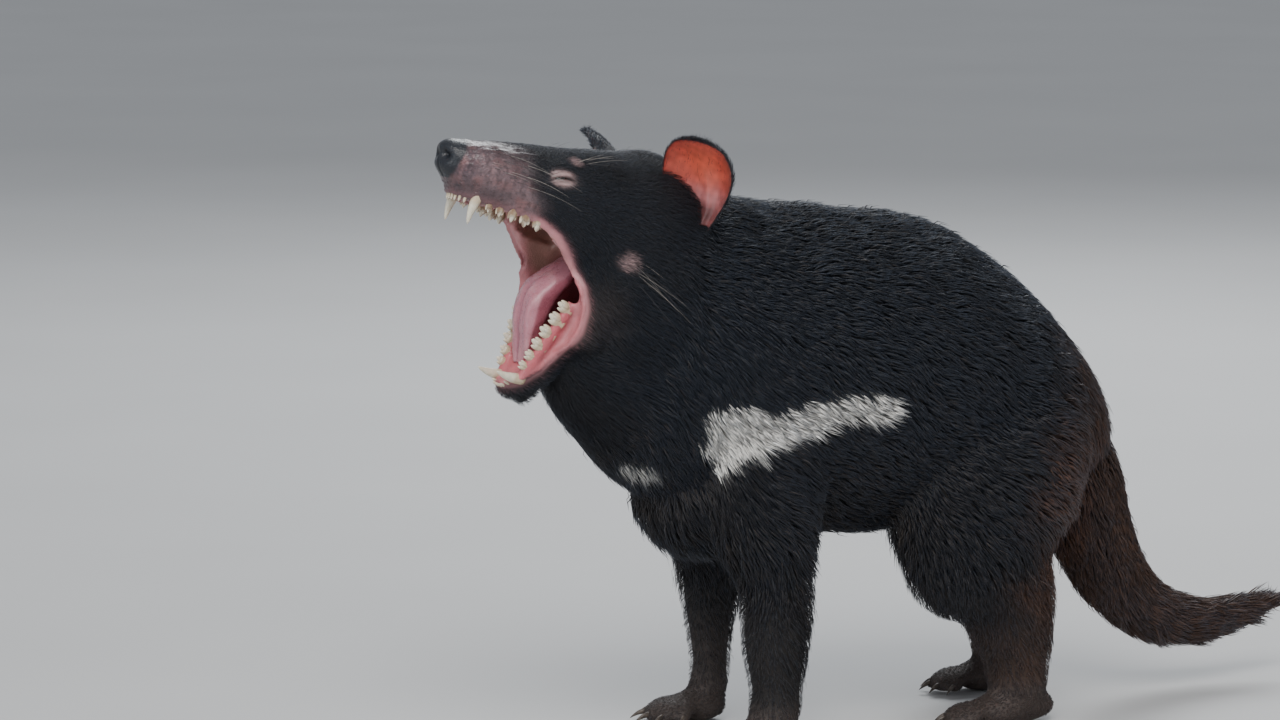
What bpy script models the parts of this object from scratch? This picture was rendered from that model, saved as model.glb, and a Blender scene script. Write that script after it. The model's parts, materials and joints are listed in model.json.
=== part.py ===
"""A life-size standing Tasmanian devil with its mouth wide open, in metres, +Z up, facing -X.

The animal's left side is at -Y. The whole hide is modelled as overlapping lofts, fused, and then
parted with thin cuts into the pieces that a person would name. Ears, eyes, tongue, teeth, claws and
the locks of the tail are set on the surface that they grow from.
"""
import math
import random

import bmesh
import bpy
from mathutils import Matrix, Vector
from mathutils.bvhtree import BVHTree

# Driving dimensions of the animal, in metres
BACK_HEIGHT = 0.320
BELLY_HEIGHT = 0.119
BODY_HALF_WIDTH = 0.079
STANCE = 0.050
FORE_X = -0.113
FORE_LAG = 0.009
HIND_X = 0.050
HIND_STRIDE = 0.050
GAP = 0.0003

# The head's own frame: its origin lies midway between the ears' fronts, "forward" runs along the
# upper tooth row, and places in it are written (forward, left, up) in millimetres.
HEAD_ORIGIN = Vector((-0.190, -0.004, 0.325))
HEAD_PITCH = math.radians(20.0)
HEAD_TURN = math.radians(4.0)
JAW_HINGE = (34.0, -21.0)
GAPE = math.radians(78.0)
MM = 0.001

# How finely the fused hide is made before it is thinned
BODY_VOXEL = 0.0026
HIDE_VOXEL = 0.0018
HIDE_TRIANGLES = 6000

# Heights of the cuts across the legs, and of the floor against the undersides of the feet
FORELEG_TOP = 0.104
HINDLEG_TOP = 0.112
PAW_TOP = 0.028
SOLE_LEVEL = 0.0

for old in list(bpy.data.objects):
    bpy.data.objects.remove(old)


def head_frame():
    """The matrix that takes (forward, left, up) in millimetres to the world."""
    forward = Vector((-math.cos(HEAD_TURN) * math.cos(HEAD_PITCH),
                      -math.sin(HEAD_TURN) * math.cos(HEAD_PITCH),
                      math.sin(HEAD_PITCH)))
    left = Vector((math.sin(HEAD_TURN), -math.cos(HEAD_TURN), 0.0))
    up = forward.cross(left)
    turn = Matrix((forward, left, up)).transposed().to_4x4()
    return Matrix.Translation(HEAD_ORIGIN) @ turn @ Matrix.Diagonal((MM, MM, MM, 1.0))


HEAD = head_frame()


def jaw_point(along, rise):
    """(forward, up) in the head's frame of a place along the open lower jaw and above its tooth line."""
    forward = JAW_HINGE[0] + along * math.cos(GAPE) + rise * math.sin(GAPE)
    up = JAW_HINGE[1] - along * math.sin(GAPE) + rise * math.cos(GAPE)
    return forward, up


def smooth_rows(rows, steps):
    """Rows of numbers with steps-1 more rows between each two, on a Catmull-Rom curve."""
    out = []
    last = len(rows) - 1
    for i in range(last):
        p0 = rows[max(i - 1, 0)]
        p1 = rows[i]
        p2 = rows[i + 1]
        p3 = rows[min(i + 2, last)]
        for k in range(steps):
            t = k / steps
            out.append(tuple(
                0.5 * (2 * b + (c - a) * t + (2 * a - 5 * b + 4 * c - d) * t * t
                       + (3 * b - a - 3 * c + d) * t ** 3)
                for a, b, c, d in zip(p0, p1, p2, p3)))
    out.append(tuple(rows[last]))
    return out


def new_object(name, bm):
    mesh = bpy.data.meshes.new(name)
    bm.to_mesh(mesh)
    bm.free()
    obj = bpy.data.objects.new(name, mesh)
    bpy.context.scene.collection.objects.link(obj)
    return obj


def ring_loft(bm, rings):
    """Closed tube through rings of points, made by extruding a first ring along the rest."""
    first = [bm.verts.new(p) for p in rings[0]]
    start = bm.faces.new(first)
    made = [start]
    edges = list(start.edges)
    loop = first
    for ring in rings[1:]:
        grown = bmesh.ops.extrude_edge_only(bm, edges=edges)
        verts = [g for g in grown["geom"] if isinstance(g, bmesh.types.BMVert)]
        made += [g for g in grown["geom"] if isinstance(g, bmesh.types.BMFace)]
        after = {}
        for v in verts:
            for e in v.link_edges:
                other = e.other_vert(v)
                if other in loop:
                    after[other] = v
        loop = [after[v] for v in loop]
        for v, p in zip(loop, ring):
            v.co = p
        edges = [bm.edges.get((a, b)) for a, b in zip(loop, loop[1:] + loop[:1])]
    made.append(bm.faces.new(list(reversed(loop))))
    bmesh.ops.recalc_face_normals(bm, faces=made)


def oval(centre, side, upward, half_side, half_up, half_down, count, squareness=1.0):
    """Points round an egg-shaped ring. Squareness under 1 fills out its corners."""
    points = []
    for k in range(count):
        a = 2 * math.pi * k / count
        c = math.copysign(abs(math.cos(a)) ** squareness, math.cos(a))
        s = math.copysign(abs(math.sin(a)) ** squareness, math.sin(a))
        rise = half_up if s > 0 else half_down
        points.append(centre + side * (half_side * c) + upward * (rise * s))
    return points


def limb(name, stations, count=20, steps=4, squareness=1.0, reference=Vector((0, 1, 0)), matrix=None):
    """Loft along a bent path. Each station is x, y, z, half width along the reference side, and the
    half depths on its upper or front side and on its lower or back side."""
    rows = smooth_rows(stations, steps)
    centres = [Vector(r[:3]) for r in rows]
    rings = []
    for i, row in enumerate(rows):
        ahead = centres[min(i + 1, len(rows) - 1)]
        behind = centres[max(i - 1, 0)]
        tangent = (ahead - behind).normalized()
        side = (reference - tangent * reference.dot(tangent)).normalized()
        upward = side.cross(tangent)
        rings.append(oval(centres[i], side, upward, row[3], row[4], row[5], count, squareness))
    bm = bmesh.new()
    ring_loft(bm, rings)
    if matrix is not None:
        bm.transform(matrix)
    return new_object(name, bm)


# Torso and neck, one loft from the root of the tail to the back of the skull.
# Columns: x, y, z, half width, half depth above, half depth below
def body_core():
    mid = (BACK_HEIGHT + BELLY_HEIGHT) / 2
    deep = (BACK_HEIGHT - BELLY_HEIGHT) / 2
    wide = BODY_HALF_WIDTH
    return limb("core", [
        (0.136, 0.0, mid - 0.072, 0.014, 0.012, 0.012),
        (0.128, 0.0, mid - 0.061, 0.038, 0.032, 0.030),
        (0.108, 0.0, mid - 0.046, 0.056, 0.050, 0.048),
        (0.075, 0.0, mid - 0.028, 0.068, 0.068, 0.068),
        (0.037, 0.0, mid - 0.012, 0.076, 0.085, 0.088),
        (-0.005, 0.0, mid - 0.001, wide, deep - 0.001, deep),
        (-0.055, 0.0, mid + 0.004, wide, deep + 0.001, deep),
        (-0.100, 0.0, mid + 0.014, wide - 0.004, deep, deep - 0.006),
        (-0.135, 0.0, mid + 0.030, 0.068, deep - 0.008, deep - 0.016),
        (-0.165, -0.001, mid + 0.050, 0.062, deep - 0.018, deep - 0.026),
        (-0.188, -0.002, mid + 0.070, 0.060, deep - 0.031, deep - 0.034),
        (-0.208, -0.003, mid + 0.088, 0.052, 0.050, 0.052),
    ], count=28)


def mirrored(stations, side):
    """Stations drawn for the animal's left, moved to the given side: +1 left, -1 right."""
    return [(x, -side * y, z, w, b, f) for x, y, z, w, b, f in stations]


# Foreleg from the shoulder to the wrist. Columns as above, half depths are in front and behind.
def foreleg(side):
    x = FORE_X if side > 0 else FORE_X + FORE_LAG
    slim = 1.0 if side > 0 else 0.78
    return limb(f"foreleg_{side}", mirrored([
        (x + 0.020, STANCE - 0.018, 0.225, 0.022, 0.030, 0.030),
        (x + 0.008, STANCE - 0.013, 0.190, 0.033, 0.047, 0.038),
        (x + 0.004, STANCE - 0.009, 0.155, 0.034, 0.048, 0.033),
        (x + 0.004, STANCE - 0.005, 0.125, 0.031, 0.039, 0.027),
        (x + 0.004, STANCE - 0.001, 0.098, 0.024, 0.026, 0.023),
        (x + 0.003, STANCE, 0.062, 0.0200 * slim, 0.0225 * slim, 0.0210 * slim),
        (x + 0.003, STANCE, 0.036, 0.0170 * slim, 0.0175 * slim, 0.0170 * slim),
        (x + 0.001, STANCE, 0.018, 0.0160 * slim, 0.0150 * slim, 0.0150 * slim),
        (x - 0.002, STANCE, 0.008, 0.0120, 0.0120, 0.0120),
    ], side), count=18)


# Hind leg: a heavy thigh, a short shank and the heel close to the floor. The right leg is set back
# by its share of the stride, and more so lower down.
def hindleg(side):
    x = HIND_X
    back = 0.0 if side > 0 else HIND_STRIDE
    slim = 1.0 if side > 0 else 0.84
    return limb(f"hindleg_{side}", mirrored([
        (x + 0.030, STANCE - 0.016, 0.215, 0.026, 0.036, 0.034),
        (x + 0.018 + 0.3 * back, STANCE - 0.008, 0.182, 0.037, 0.060, 0.050 * slim),
        (x - 0.002 + 0.6 * back, STANCE - 0.004, 0.145, 0.038, 0.070 * slim, 0.058 * slim),
        (x - 0.004 + 0.8 * back, STANCE - 0.001, 0.110, 0.034 * slim, 0.066 * slim, 0.044 * slim),
        (x + 0.008 + 0.9 * back, STANCE, 0.080, 0.027 * slim, 0.042 * slim, 0.028),
        (x + 0.014 + 0.9 * back, STANCE, 0.050, 0.021 * slim, 0.031 * slim, 0.021),
        (x + 0.014 + back, STANCE, 0.026, 0.017, 0.022, 0.017),
        (x + 0.014 + back, STANCE, 0.008, 0.014, 0.016, 0.015),
    ], side), count=20)


# Columns: how far round from straight ahead in degrees, and length, of each toe
FORE_TOES = [(-44.0, 0.014), (-20.0, 0.019), (0.0, 0.021), (20.0, 0.019), (42.0, 0.015)]
HIND_TOES = [(-24.0, 0.017), (-8.0, 0.021), (8.0, 0.021), (24.0, 0.017)]
TOE_RADIUS = 0.0052


def toe_root(centre, angle, reach):
    turn = math.radians(angle)
    return centre + Vector((-math.cos(turn) * reach, math.sin(turn) * reach, 0.0))


def toe(name, centre, angle, length, reach):
    """One toe that runs forward and out from the sole and bends down to the floor."""
    root = toe_root(centre, angle, reach - 0.008)
    tip = toe_root(centre, angle, reach + length)
    middle = root.lerp(tip, 0.6)
    return limb(name, [
        (*root, TOE_RADIUS * 0.8, TOE_RADIUS, TOE_RADIUS),
        (middle.x, middle.y, root.z + 0.0015, TOE_RADIUS, TOE_RADIUS * 1.05, TOE_RADIUS),
        (tip.x, tip.y, TOE_RADIUS - 0.001, TOE_RADIUS * 0.95, TOE_RADIUS, TOE_RADIUS),
        (*toe_root(centre, angle, reach + length + 0.003).xy, 0.0035, 0.002, 0.002, 0.002),
    ], count=10, steps=2)


def forepaw_centre(side):
    x = FORE_X if side > 0 else FORE_X + FORE_LAG
    return Vector((x - 0.006, -side * STANCE, 0.009))


def hindpaw_centre(side):
    x = HIND_X if side > 0 else HIND_X + HIND_STRIDE
    return Vector((x - 0.002, -side * STANCE, 0.009))


def paw(kind, side):
    """Sole and toes of one foot. The hind foot also has a long heel."""
    flat = Matrix.Identity(4)
    if kind == "fore":
        centre, toes, reach = forepaw_centre(side), FORE_TOES, 0.014
        parts = [ball("sole", centre, (0.020, 0.0165, 0.0105), flat)]
    else:
        centre, toes, reach = hindpaw_centre(side), HIND_TOES, 0.015
        parts = [ball("sole", centre, (0.021, 0.0165, 0.0105), flat),
                 ball("heel", centre + Vector((0.018, 0.0, 0.001)), (0.024, 0.0125, 0.0110), flat)]
    for angle, length in toes:
        parts.append(toe("toe", centre, angle, length, reach))
    return parts


# Tail: fat at its root, hanging behind the hind legs and then trailing back just clear of the floor
TAIL_PATH = [
    (0.112, 0.000, 0.182, 0.030, 0.030, 0.032),
    (0.132, 0.000, 0.148, 0.031, 0.029, 0.031),
    (0.145, 0.001, 0.112, 0.029, 0.027, 0.030),
    (0.163, 0.002, 0.078, 0.025, 0.025, 0.027),
    (0.192, 0.004, 0.052, 0.021, 0.022, 0.023),
    (0.228, 0.006, 0.042, 0.017, 0.018, 0.018),
    (0.264, 0.008, 0.043, 0.0125, 0.0135, 0.0135),
    (0.292, 0.010, 0.048, 0.0075, 0.0080, 0.0080),
]
TAIL_LENGTH = 0.245


def tail_core():
    return limb("tail_core", TAIL_PATH, count=18)


# Upper head in its own frame, from the nose back. Columns: forward, left, up, half width, above, below
CRANIUM = [
    (137.5, 0.0, 2.0, 4.0, 4.0, 4.0),
    (134.5, 0.0, 2.0, 9.0, 7.0, 6.5),
    (129.5, 0.0, 0.0, 13.0, 11.0, 11.5),
    (124.5, 0.0, 0.0, 15.5, 12.0, 17.0),
    (117.5, 0.0, 0.0, 18.5, 13.0, 22.0),
    (105.0, 0.0, 0.0, 22.5, 16.0, 25.0),
    (90.0, 0.0, 0.0, 26.5, 19.5, 27.0),
    (75.0, 0.0, 0.0, 31.0, 23.0, 30.0),
    (60.0, 0.0, 0.0, 37.0, 26.5, 36.0),
    (45.0, 0.0, -2.0, 43.0, 34.0, 44.0),
    (30.0, 0.0, -5.0, 48.0, 41.5, 46.0),
    (15.0, 0.0, -8.0, 52.0, 48.5, 51.0),
    (0.0, 0.0, -9.0, 54.0, 52.0, 53.0),
    (-15.0, 0.0, -9.0, 53.0, 50.0, 53.0),
    (-30.0, 0.0, -12.0, 50.0, 44.0, 47.0),
    (-46.0, 0.0, -16.0, 40.0, 34.0, 30.0),
]

# Lower jaw, from the chin back to the hinge. Columns: along, rise, half width, above, below
MANDIBLE = [
    (104.5, -9.5, 4.0, 3.0, 4.0),
    (102.0, -10.0, 10.0, 8.0, 8.0),
    (94.0, -12.0, 14.5, 11.0, 11.5),
    (82.0, -14.0, 18.5, 12.0, 14.0),
    (68.0, -16.0, 25.0, 13.0, 17.0),
    (52.0, -19.0, 33.5, 15.0, 22.0),
    (36.0, -23.0, 42.5, 18.0, 28.0),
    (20.0, -26.0, 47.0, 22.0, 33.0),
    (4.0, -28.0, 49.0, 26.0, 36.0),
]

# Throat, from under the chin to the chest, in metres. Columns as for a limb
THROAT = [
    (-0.237, -0.003, 0.266, 0.022, 0.016, 0.016),
    (-0.220, -0.003, 0.254, 0.037, 0.039, 0.030),
    (-0.192, -0.002, 0.236, 0.049, 0.054, 0.040),
    (-0.158, 0.000, 0.218, 0.056, 0.066, 0.050),
    (-0.120, 0.000, 0.205, 0.060, 0.072, 0.060),
]

# Edge of the lips on either side, from the tip of the muzzle round the corner of the mouth to the chin
LIP_LINE = [
    (125.0, -21.0),
    (105.0, -20.5),
    (85.0, -19.5),
    (70.0, -21.5),
    (59.0, -26.5),
    (47.0, -37.0),
    (36.0, -50.0),
    (30.0, -63.0),
    (28.0, -77.0),
    (29.5, -92.0),
    (34.0, -105.0),
    (42.0, -114.0),
    (50.0, -119.0),
]

# Tooth rows. Upper: forward, half width. Lower: along, half width
UPPER_ARCADE = [(119.5, 0.0), (119.0, 3.5), (117.5, 6.5), (115.0, 9.5), (110.0, 12.6), (101.0, 14.5),
                (90.0, 16.5), (78.0, 19.5), (67.0, 22.5), (57.0, 25.0)]
LOWER_ARCADE = [(98.5, 0.0), (98.0, 3.8), (96.3, 7.2), (92.0, 10.6), (83.5, 12.8), (74.0, 15.0),
                (63.0, 18.0), (51.0, 21.5), (38.0, 24.5)]
UPPER_GUM_UP = -18.0
LOWER_GUM_RISE = -10.0
GUM_RADIUS = 3.8
LIP_RADIUS = 2.9


def cranium():
    return limb("cranium", CRANIUM, count=28, squareness=0.9, matrix=HEAD)


def mandible():
    stations = []
    for along, rise, half, above, below in MANDIBLE:
        forward, up = jaw_point(along, rise)
        stations.append((forward, 0.0, up, half, above, below))
    return limb("mandible", stations, count=24, squareness=0.9, matrix=HEAD)


def ball(name, centre, radii, matrix, segments=16, rings=10):
    """Ellipsoid with its centre and radii given in the frame of the matrix."""
    bm = bmesh.new()
    bmesh.ops.create_uvsphere(bm, u_segments=segments, v_segments=rings, radius=1.0)
    bm.transform(matrix @ Matrix.Translation(centre) @ Matrix.Diagonal((*radii, 1.0)))
    return new_object(name, bm)


def cheek(side):
    """The chewing muscle that swells behind the corner of the mouth."""
    return ball(f"cheek_{side}", (6.0, side * 34.0, -34.0), (27.0, 21.0, 34.0), HEAD)


def mouth_corner(side):
    """The folded skin stretched between the jaws."""
    return ball(f"corner_{side}", (24.0, side * 30.0, -60.0), (22.0, 10.5, 28.0), HEAD)


def brisket():
    """The front of the chest, hanging between the shoulders."""
    return ball("brisket", (-0.136, 0.0, 0.158), (0.044, 0.050, 0.046), Matrix.Identity(4))


def brow(side):
    """The ridge and closed lids over the eye."""
    return ball(f"brow_{side}", (68.0, side * 25.0, 9.5), (12.0, 9.0, 8.0), HEAD)


def nose():
    """The bare pad at the tip of the muzzle."""
    return ball("nose", (130.0, 0.0, 2.0), (8.5, 9.5, 9.0), HEAD)


def nostril_wing(side):
    return ball(f"nostril_wing_{side}", (131.0, side * 7.0, 0.5), (6.0, 5.0, 6.5), HEAD)


def nostril(side):
    """The pit of one nostril, which opens forward and out."""
    return ball(f"nostril_{side}", (137.0, side * 6.6, -0.6), (5.0, 2.3, 2.7), HEAD, 10, 8)


def mouth_opening():
    """Prism, as wide as the head, in front of the lips."""
    outline = smooth_rows(LIP_LINE, 4)
    outline = [(160.0, -20.5)] + outline + [(58.0, -124.0), (160.0, -150.0)]
    reach = 90.0
    bm = bmesh.new()
    near = [bm.verts.new((f, reach, u)) for f, u in outline]
    face = bm.faces.new(near)
    grown = bmesh.ops.extrude_face_region(bm, geom=[face])
    moved = [g for g in grown["geom"] if isinstance(g, bmesh.types.BMVert)]
    bmesh.ops.translate(bm, verts=moved, vec=(0.0, -2 * reach, 0.0))
    bmesh.ops.recalc_face_normals(bm, faces=bm.faces)
    bm.transform(HEAD)
    return new_object("mouth_opening", bm)


def palate_trough():
    """The hollow roof of the mouth, between the tooth rows."""
    rows = [(124.0, 3.0, 3.0), (116.0, 8.0, 7.0), (104.0, 12.0, 8.5), (90.0, 14.5, 9.5),
            (75.0, 18.0, 10.5), (60.0, 22.0, 12.0), (45.0, 26.0, 16.0), (30.0, 26.0, 18.0)]
    stations = [(f, 0.0, -22.0, half, above, 12.0) for f, half, above in rows]
    return limb("palate_trough", stations, count=16, matrix=HEAD)


def gullet():
    """The hollow behind the tongue that narrows into the throat."""
    stations = [(78.0, 0.0, -60.0, 22.0, 30.0, 30.0), (60.0, 0.0, -56.0, 27.0, 33.0, 36.0),
                (44.0, 0.0, -54.0, 29.0, 34.0, 34.0), (28.0, 0.0, -52.0, 28.0, 30.0, 27.0),
                (14.0, 0.0, -50.0, 22.0, 21.0, 18.0), (2.0, 0.0, -49.0, 13.0, 11.0, 10.0),
                (-4.0, 0.0, -49.0, 6.0, 4.0, 4.0)]
    return limb("gullet", stations, count=20, matrix=HEAD)


def tube(name, points, radius, matrix, sides=8):
    """Closed tube of one radius, or one radius a point, along a line of points."""
    radii = radius if isinstance(radius, list) else [radius] * len(points)
    rings = []
    for i, p in enumerate(points):
        tangent = (points[min(i + 1, len(points) - 1)] - points[max(i - 1, 0)]).normalized()
        across = tangent.orthogonal() if i == 0 else (across - tangent * across.dot(tangent))
        across.normalize()
        rings.append(oval(p, across, across.cross(tangent), radii[i], radii[i], radii[i], sides))
    bm = bmesh.new()
    ring_loft(bm, rings)
    bm.transform(matrix)
    return new_object(name, bm)


def upper_place(forward, half, side):
    return Vector((forward, side * half, UPPER_GUM_UP))


def lower_place(along, half, side):
    forward, up = jaw_point(along, LOWER_GUM_RISE)
    return Vector((forward, side * half, up))


def gum(name, arcade, place):
    """The ridge of gum that the teeth stand in, round both sides of a jaw."""
    rows = smooth_rows(arcade, 3)
    points = [place(a, h, 1) for a, h in reversed(rows)] + [place(a, h, -1) for a, h in rows[1:]]
    return tube(name, points, GUM_RADIUS, HEAD, sides=10)


# Lower jaw inside its lips. Columns: along, half width, rise
JAW_CORE = [(102.0, 5.0, -15.5), (98.0, 10.0, -16.5), (87.0, 15.0, -19.5), (72.0, 19.0, -21.5),
            (55.0, 24.0, -21.5), (38.0, 29.0, -21.0), (22.0, 31.0, -19.0), (8.0, 28.0, -19.0)]


def jaw_core():
    """The lower jaw from gum to gum, with the floor of the mouth on top."""
    stations = []
    for along, half, rise in JAW_CORE:
        forward, up = jaw_point(along, rise)
        stations.append((forward, 0.0, up, half, 10.0, 10.0))
    return limb("jaw_core", stations, count=20, squareness=0.6, matrix=HEAD)


def lip(tree, side):
    """The soft rim of the mouth, along the cut edge of the skin."""
    points = []
    for forward, up in smooth_rows(LIP_LINE, 2):
        start = HEAD @ Vector((forward, side * 90.0, up))
        hit = tree.ray_cast(start, (HEAD @ Vector((forward, 0.0, up))) - start)[0]
        if hit is None:
            continue
        points.append(HEAD.inverted() @ hit - Vector((0.0, side * LIP_RADIUS * 0.9, 0.0)))
    return tube(f"lip_{side}", points, LIP_RADIUS, HEAD)


def surface_tree(obj):
    graph = bpy.context.evaluated_depsgraph_get()
    bm = bmesh.new()
    bm.from_mesh(obj.evaluated_get(graph).to_mesh())
    tree = BVHTree.FromBMesh(bm)
    bm.free()
    return tree


def join_objects(objects, name):
    bm = bmesh.new()
    for obj in objects:
        bm.from_mesh(obj.data)
        bpy.data.objects.remove(obj)
    return new_object(name, bm)


def applied(obj):
    """Swap the object's mesh for its evaluated one and clear the modifiers."""
    graph = bpy.context.evaluated_depsgraph_get()
    graph.update()
    mesh = bpy.data.meshes.new_from_object(obj.evaluated_get(graph))
    obj.modifiers.clear()
    obj.data = mesh
    return obj


def remeshed(obj, voxel, rounds, factor=0.5):
    obj.modifiers.new("fuse", "REMESH").mode = "VOXEL"
    obj.modifiers["fuse"].voxel_size = voxel
    if rounds:
        soften = obj.modifiers.new("soften", "SMOOTH")
        soften.iterations = rounds
        soften.factor = factor
    return applied(obj)


def boolean(obj, other, operation, solver="EXACT", keep=False):
    cut = obj.modifiers.new(operation.lower(), "BOOLEAN")
    cut.operation = operation
    cut.solver = solver
    if isinstance(other, bpy.types.Collection):
        cut.operand_type = "COLLECTION"
        cut.collection = other
    else:
        cut.object = other
    applied(obj)
    if isinstance(other, bpy.types.Collection):
        for piece in list(other.objects):
            bpy.data.objects.remove(piece)
        bpy.data.collections.remove(other)
    elif not keep:
        bpy.data.objects.remove(other)
    return obj


def whole_hide():
    """Every part of the body that skin covers, fused into one closed surface."""
    throat = limb("throat", THROAT, count=22)
    pieces = [body_core(), cranium(), mandible(), throat, brisket(), tail_core(), nose()]
    for side in (1, -1):
        pieces += [foreleg(side), hindleg(side), cheek(side), mouth_corner(side)]
        pieces += [brow(side), nostril_wing(side)]
        pieces += paw("fore", side) + paw("hind", side)
    whole = remeshed(join_objects(pieces, "hide"), BODY_VOXEL, 12)
    outside = surface_tree(whole)
    boolean(whole, mouth_opening(), "DIFFERENCE")
    boolean(whole, jaw_core(), "UNION")
    boolean(whole, palate_trough(), "DIFFERENCE")
    boolean(whole, gullet(), "DIFFERENCE")
    rims = [gum("upper_gum", UPPER_ARCADE, upper_place), gum("lower_gum", LOWER_ARCADE, lower_place),
            lip(outside, 1), lip(outside, -1)]
    return remeshed(join_objects([whole] + rims, "hide"), HIDE_VOXEL, 8)


def thinned(obj, coarse, triangles):
    """Keep fine faces on the head and paws and coarse ones on the trunk."""
    spread = obj.vertex_groups.new(name="coarse")
    toward_head = HEAD.inverted()
    for v in obj.data.vertices:
        place = toward_head @ v.co
        fine = place.x > -20.0 or v.co.z < PAW_TOP
        spread.add([v.index], coarse if fine else 1.0, "REPLACE")
    thin = obj.modifiers.new("thin", "DECIMATE")
    thin.ratio = triangles / (2.0 * len(obj.data.polygons))
    thin.vertex_group = "coarse"
    thin.use_collapse_triangulate = True
    return applied(obj)


def plate(centre, normal, reach, matrix):
    """A thin sheet that parts the hide. Reach is how far it goes along its own slope and to each side."""
    facing = (matrix.to_3x3() @ Vector(normal)).normalized()
    side = (matrix.to_3x3() @ Vector((0.0, 1.0, 0.0))).normalized()
    slope = side.cross(facing)
    place = Matrix((slope, side, facing)).transposed().to_4x4()
    place.translation = matrix @ Vector(centre)
    bm = bmesh.new()
    bmesh.ops.create_cube(bm, size=1.0)
    bm.transform(place @ Matrix.Diagonal((2 * reach[0], 2 * reach[1], GAP, 1.0)))
    return new_object("plate", bm)


# Where the hide is parted. Columns: centre, the way that the cut faces, and its reach along its slope
# and to each side (m). The first three are in the head's frame.
HEAD_CUTS = [
    ((127.5, 0.0, -4.0), (0.949, 0.0, 0.316), (0.030, 0.030)),
    ((-14.0, 0.0, -40.0), (0.959, 0.0, 0.285), (0.115, 0.100)),
    ((40.2, 0.0, -60.6), (0.132, 0.0, 0.991), (0.0504, 0.070)),
]
TRUNK_CUTS = [
    ((-0.1475, 0.0, 0.2575), (-0.863, 0.0, 0.506), (0.130, 0.120)),
    ((0.1545, 0.001, 0.095), (0.42, 0.0, -0.907), (0.036, 0.034)),
]


def body_plates():
    """The sheets between the named parts of the body."""
    flat = Matrix.Identity(4)
    sheets = [plate(*row, HEAD) for row in HEAD_CUTS] + [plate(*row, flat) for row in TRUNK_CUTS]
    for side in (1, -1):
        fore = forepaw_centre(side)
        hind = hindpaw_centre(side)
        sheets += [
            plate((fore.x + 0.012, fore.y, FORELEG_TOP), (0.0, 0.0, 1.0), (0.050, 0.042), flat),
            plate((hind.x - 0.010, hind.y * 1.08, HINDLEG_TOP), (0.0, 0.0, 1.0), (0.066, 0.041), flat),
            plate((fore.x + 0.006, fore.y, PAW_TOP), (0.0, 0.0, 1.0), (0.034, 0.030), flat),
            plate((hind.x + 0.012, hind.y, PAW_TOP), (0.0, 0.0, 1.0), (0.040, 0.030), flat),
        ]
    return sheets


def parted(obj, labels):
    """Split a mesh into its separate surfaces and name each after the nearest label."""
    bm = bmesh.new()
    bm.from_mesh(obj.data)
    bpy.data.objects.remove(obj)
    seen = set()
    found = {}
    for start in bm.verts:
        if start in seen:
            continue
        island = []
        queue = [start]
        seen.add(start)
        while queue:
            v = queue.pop()
            island.append(v)
            for e in v.link_edges:
                other = e.other_vert(v)
                if other not in seen:
                    seen.add(other)
                    queue.append(other)
        middle = sum((v.co for v in island), Vector()) / len(island)
        name = min(labels, key=lambda label: (labels[label] - middle).length)
        if name not in found or len(found[name]) < len(island):
            found[name] = island
    pieces = {}
    for name, island in found.items():
        part = bmesh.new()
        copies = {v: part.verts.new(v.co) for v in island}
        walls = {}
        for face in {f for v in island for f in v.link_faces}:
            walls.setdefault(frozenset(face.verts), []).append(face)
        for same in walls.values():
            if len(same) == 1:
                part.faces.new([copies[v] for v in same[0].verts])
        bmesh.ops.delete(part, geom=[v for v in part.verts if not v.link_faces], context="VERTS")
        bmesh.ops.triangulate(part, faces=part.faces)
        pieces[name] = new_object(name, part)
    bm.free()
    return pieces


def body_labels():
    labels = {
        "nose": HEAD @ Vector((133.0, 0.0, -2.0)),
        "head": HEAD @ Vector((50.0, 0.0, 0.0)),
        "lower_jaw": HEAD @ Vector((30.0, 0.0, -95.0)),
        "neck": Vector((-0.165, 0.0, 0.275)),
        "torso": Vector((0.0, 0.0, 0.220)),
        "tail": Vector((0.200, 0.0, 0.060)),
    }
    for side, word in ((1, "left"), (-1, "right")):
        fore = forepaw_centre(side)
        hind = hindpaw_centre(side)
        labels[f"foreleg_{word}"] = Vector((fore.x, fore.y, 0.065))
        labels[f"forepaw_{word}"] = Vector((fore.x, fore.y, 0.010))
        labels[f"hindleg_{word}"] = Vector((hind.x, hind.y, 0.080))
        labels[f"hindpaw_{word}"] = Vector((hind.x + 0.010, hind.y, 0.010))
    return labels


hide = thinned(whole_hide(), 0.86, HIDE_TRIANGLES)
for sheet in body_plates():
    boolean(hide, sheet, "DIFFERENCE", solver="MANIFOLD")
body = parted(hide, body_labels())
for side in (1, -1):
    boolean(body["nose"], nostril(side), "DIFFERENCE")


def spike(name, root, tip, half, bend, sides=5, blunt=0.22):
    """A tooth, claw or lock: a tapered tube from a sunk root to a tip, bowed by the bend at its middle."""
    rings = []
    for t in (0.0, 0.45, 0.8, 1.0):
        centre = root.lerp(tip, t) + bend * (4 * t * (1 - t))
        if t == 0.0:
            across = (tip - root).orthogonal().normalized()
            broad = across.cross((tip - root).normalized())
        size = half * (1.0 - (1.0 - blunt) * t ** 1.6)
        rings.append(oval(centre, broad, across, size, size, size, sides))
    bm = bmesh.new()
    ring_loft(bm, rings)
    return new_object(name, bm)


def gathered(objects, name):
    """A collection that holds only these objects, for one Boolean."""
    group = bpy.data.collections.new(name)
    bpy.context.scene.collection.children.link(group)
    for obj in objects:
        bpy.context.scene.collection.objects.unlink(obj)
        group.objects.link(obj)
    return group


def grown_on(obj, pieces):
    """Join pieces to the part that they grow from, in one union."""
    boolean(obj, gathered(pieces, "growths"), "UNION")
    return largest(obj)


def largest(obj):
    """Drop every closed surface but the largest."""
    name = obj.name
    kept = parted(obj, {name: Vector()})[name]
    kept.name = name
    return kept


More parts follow.
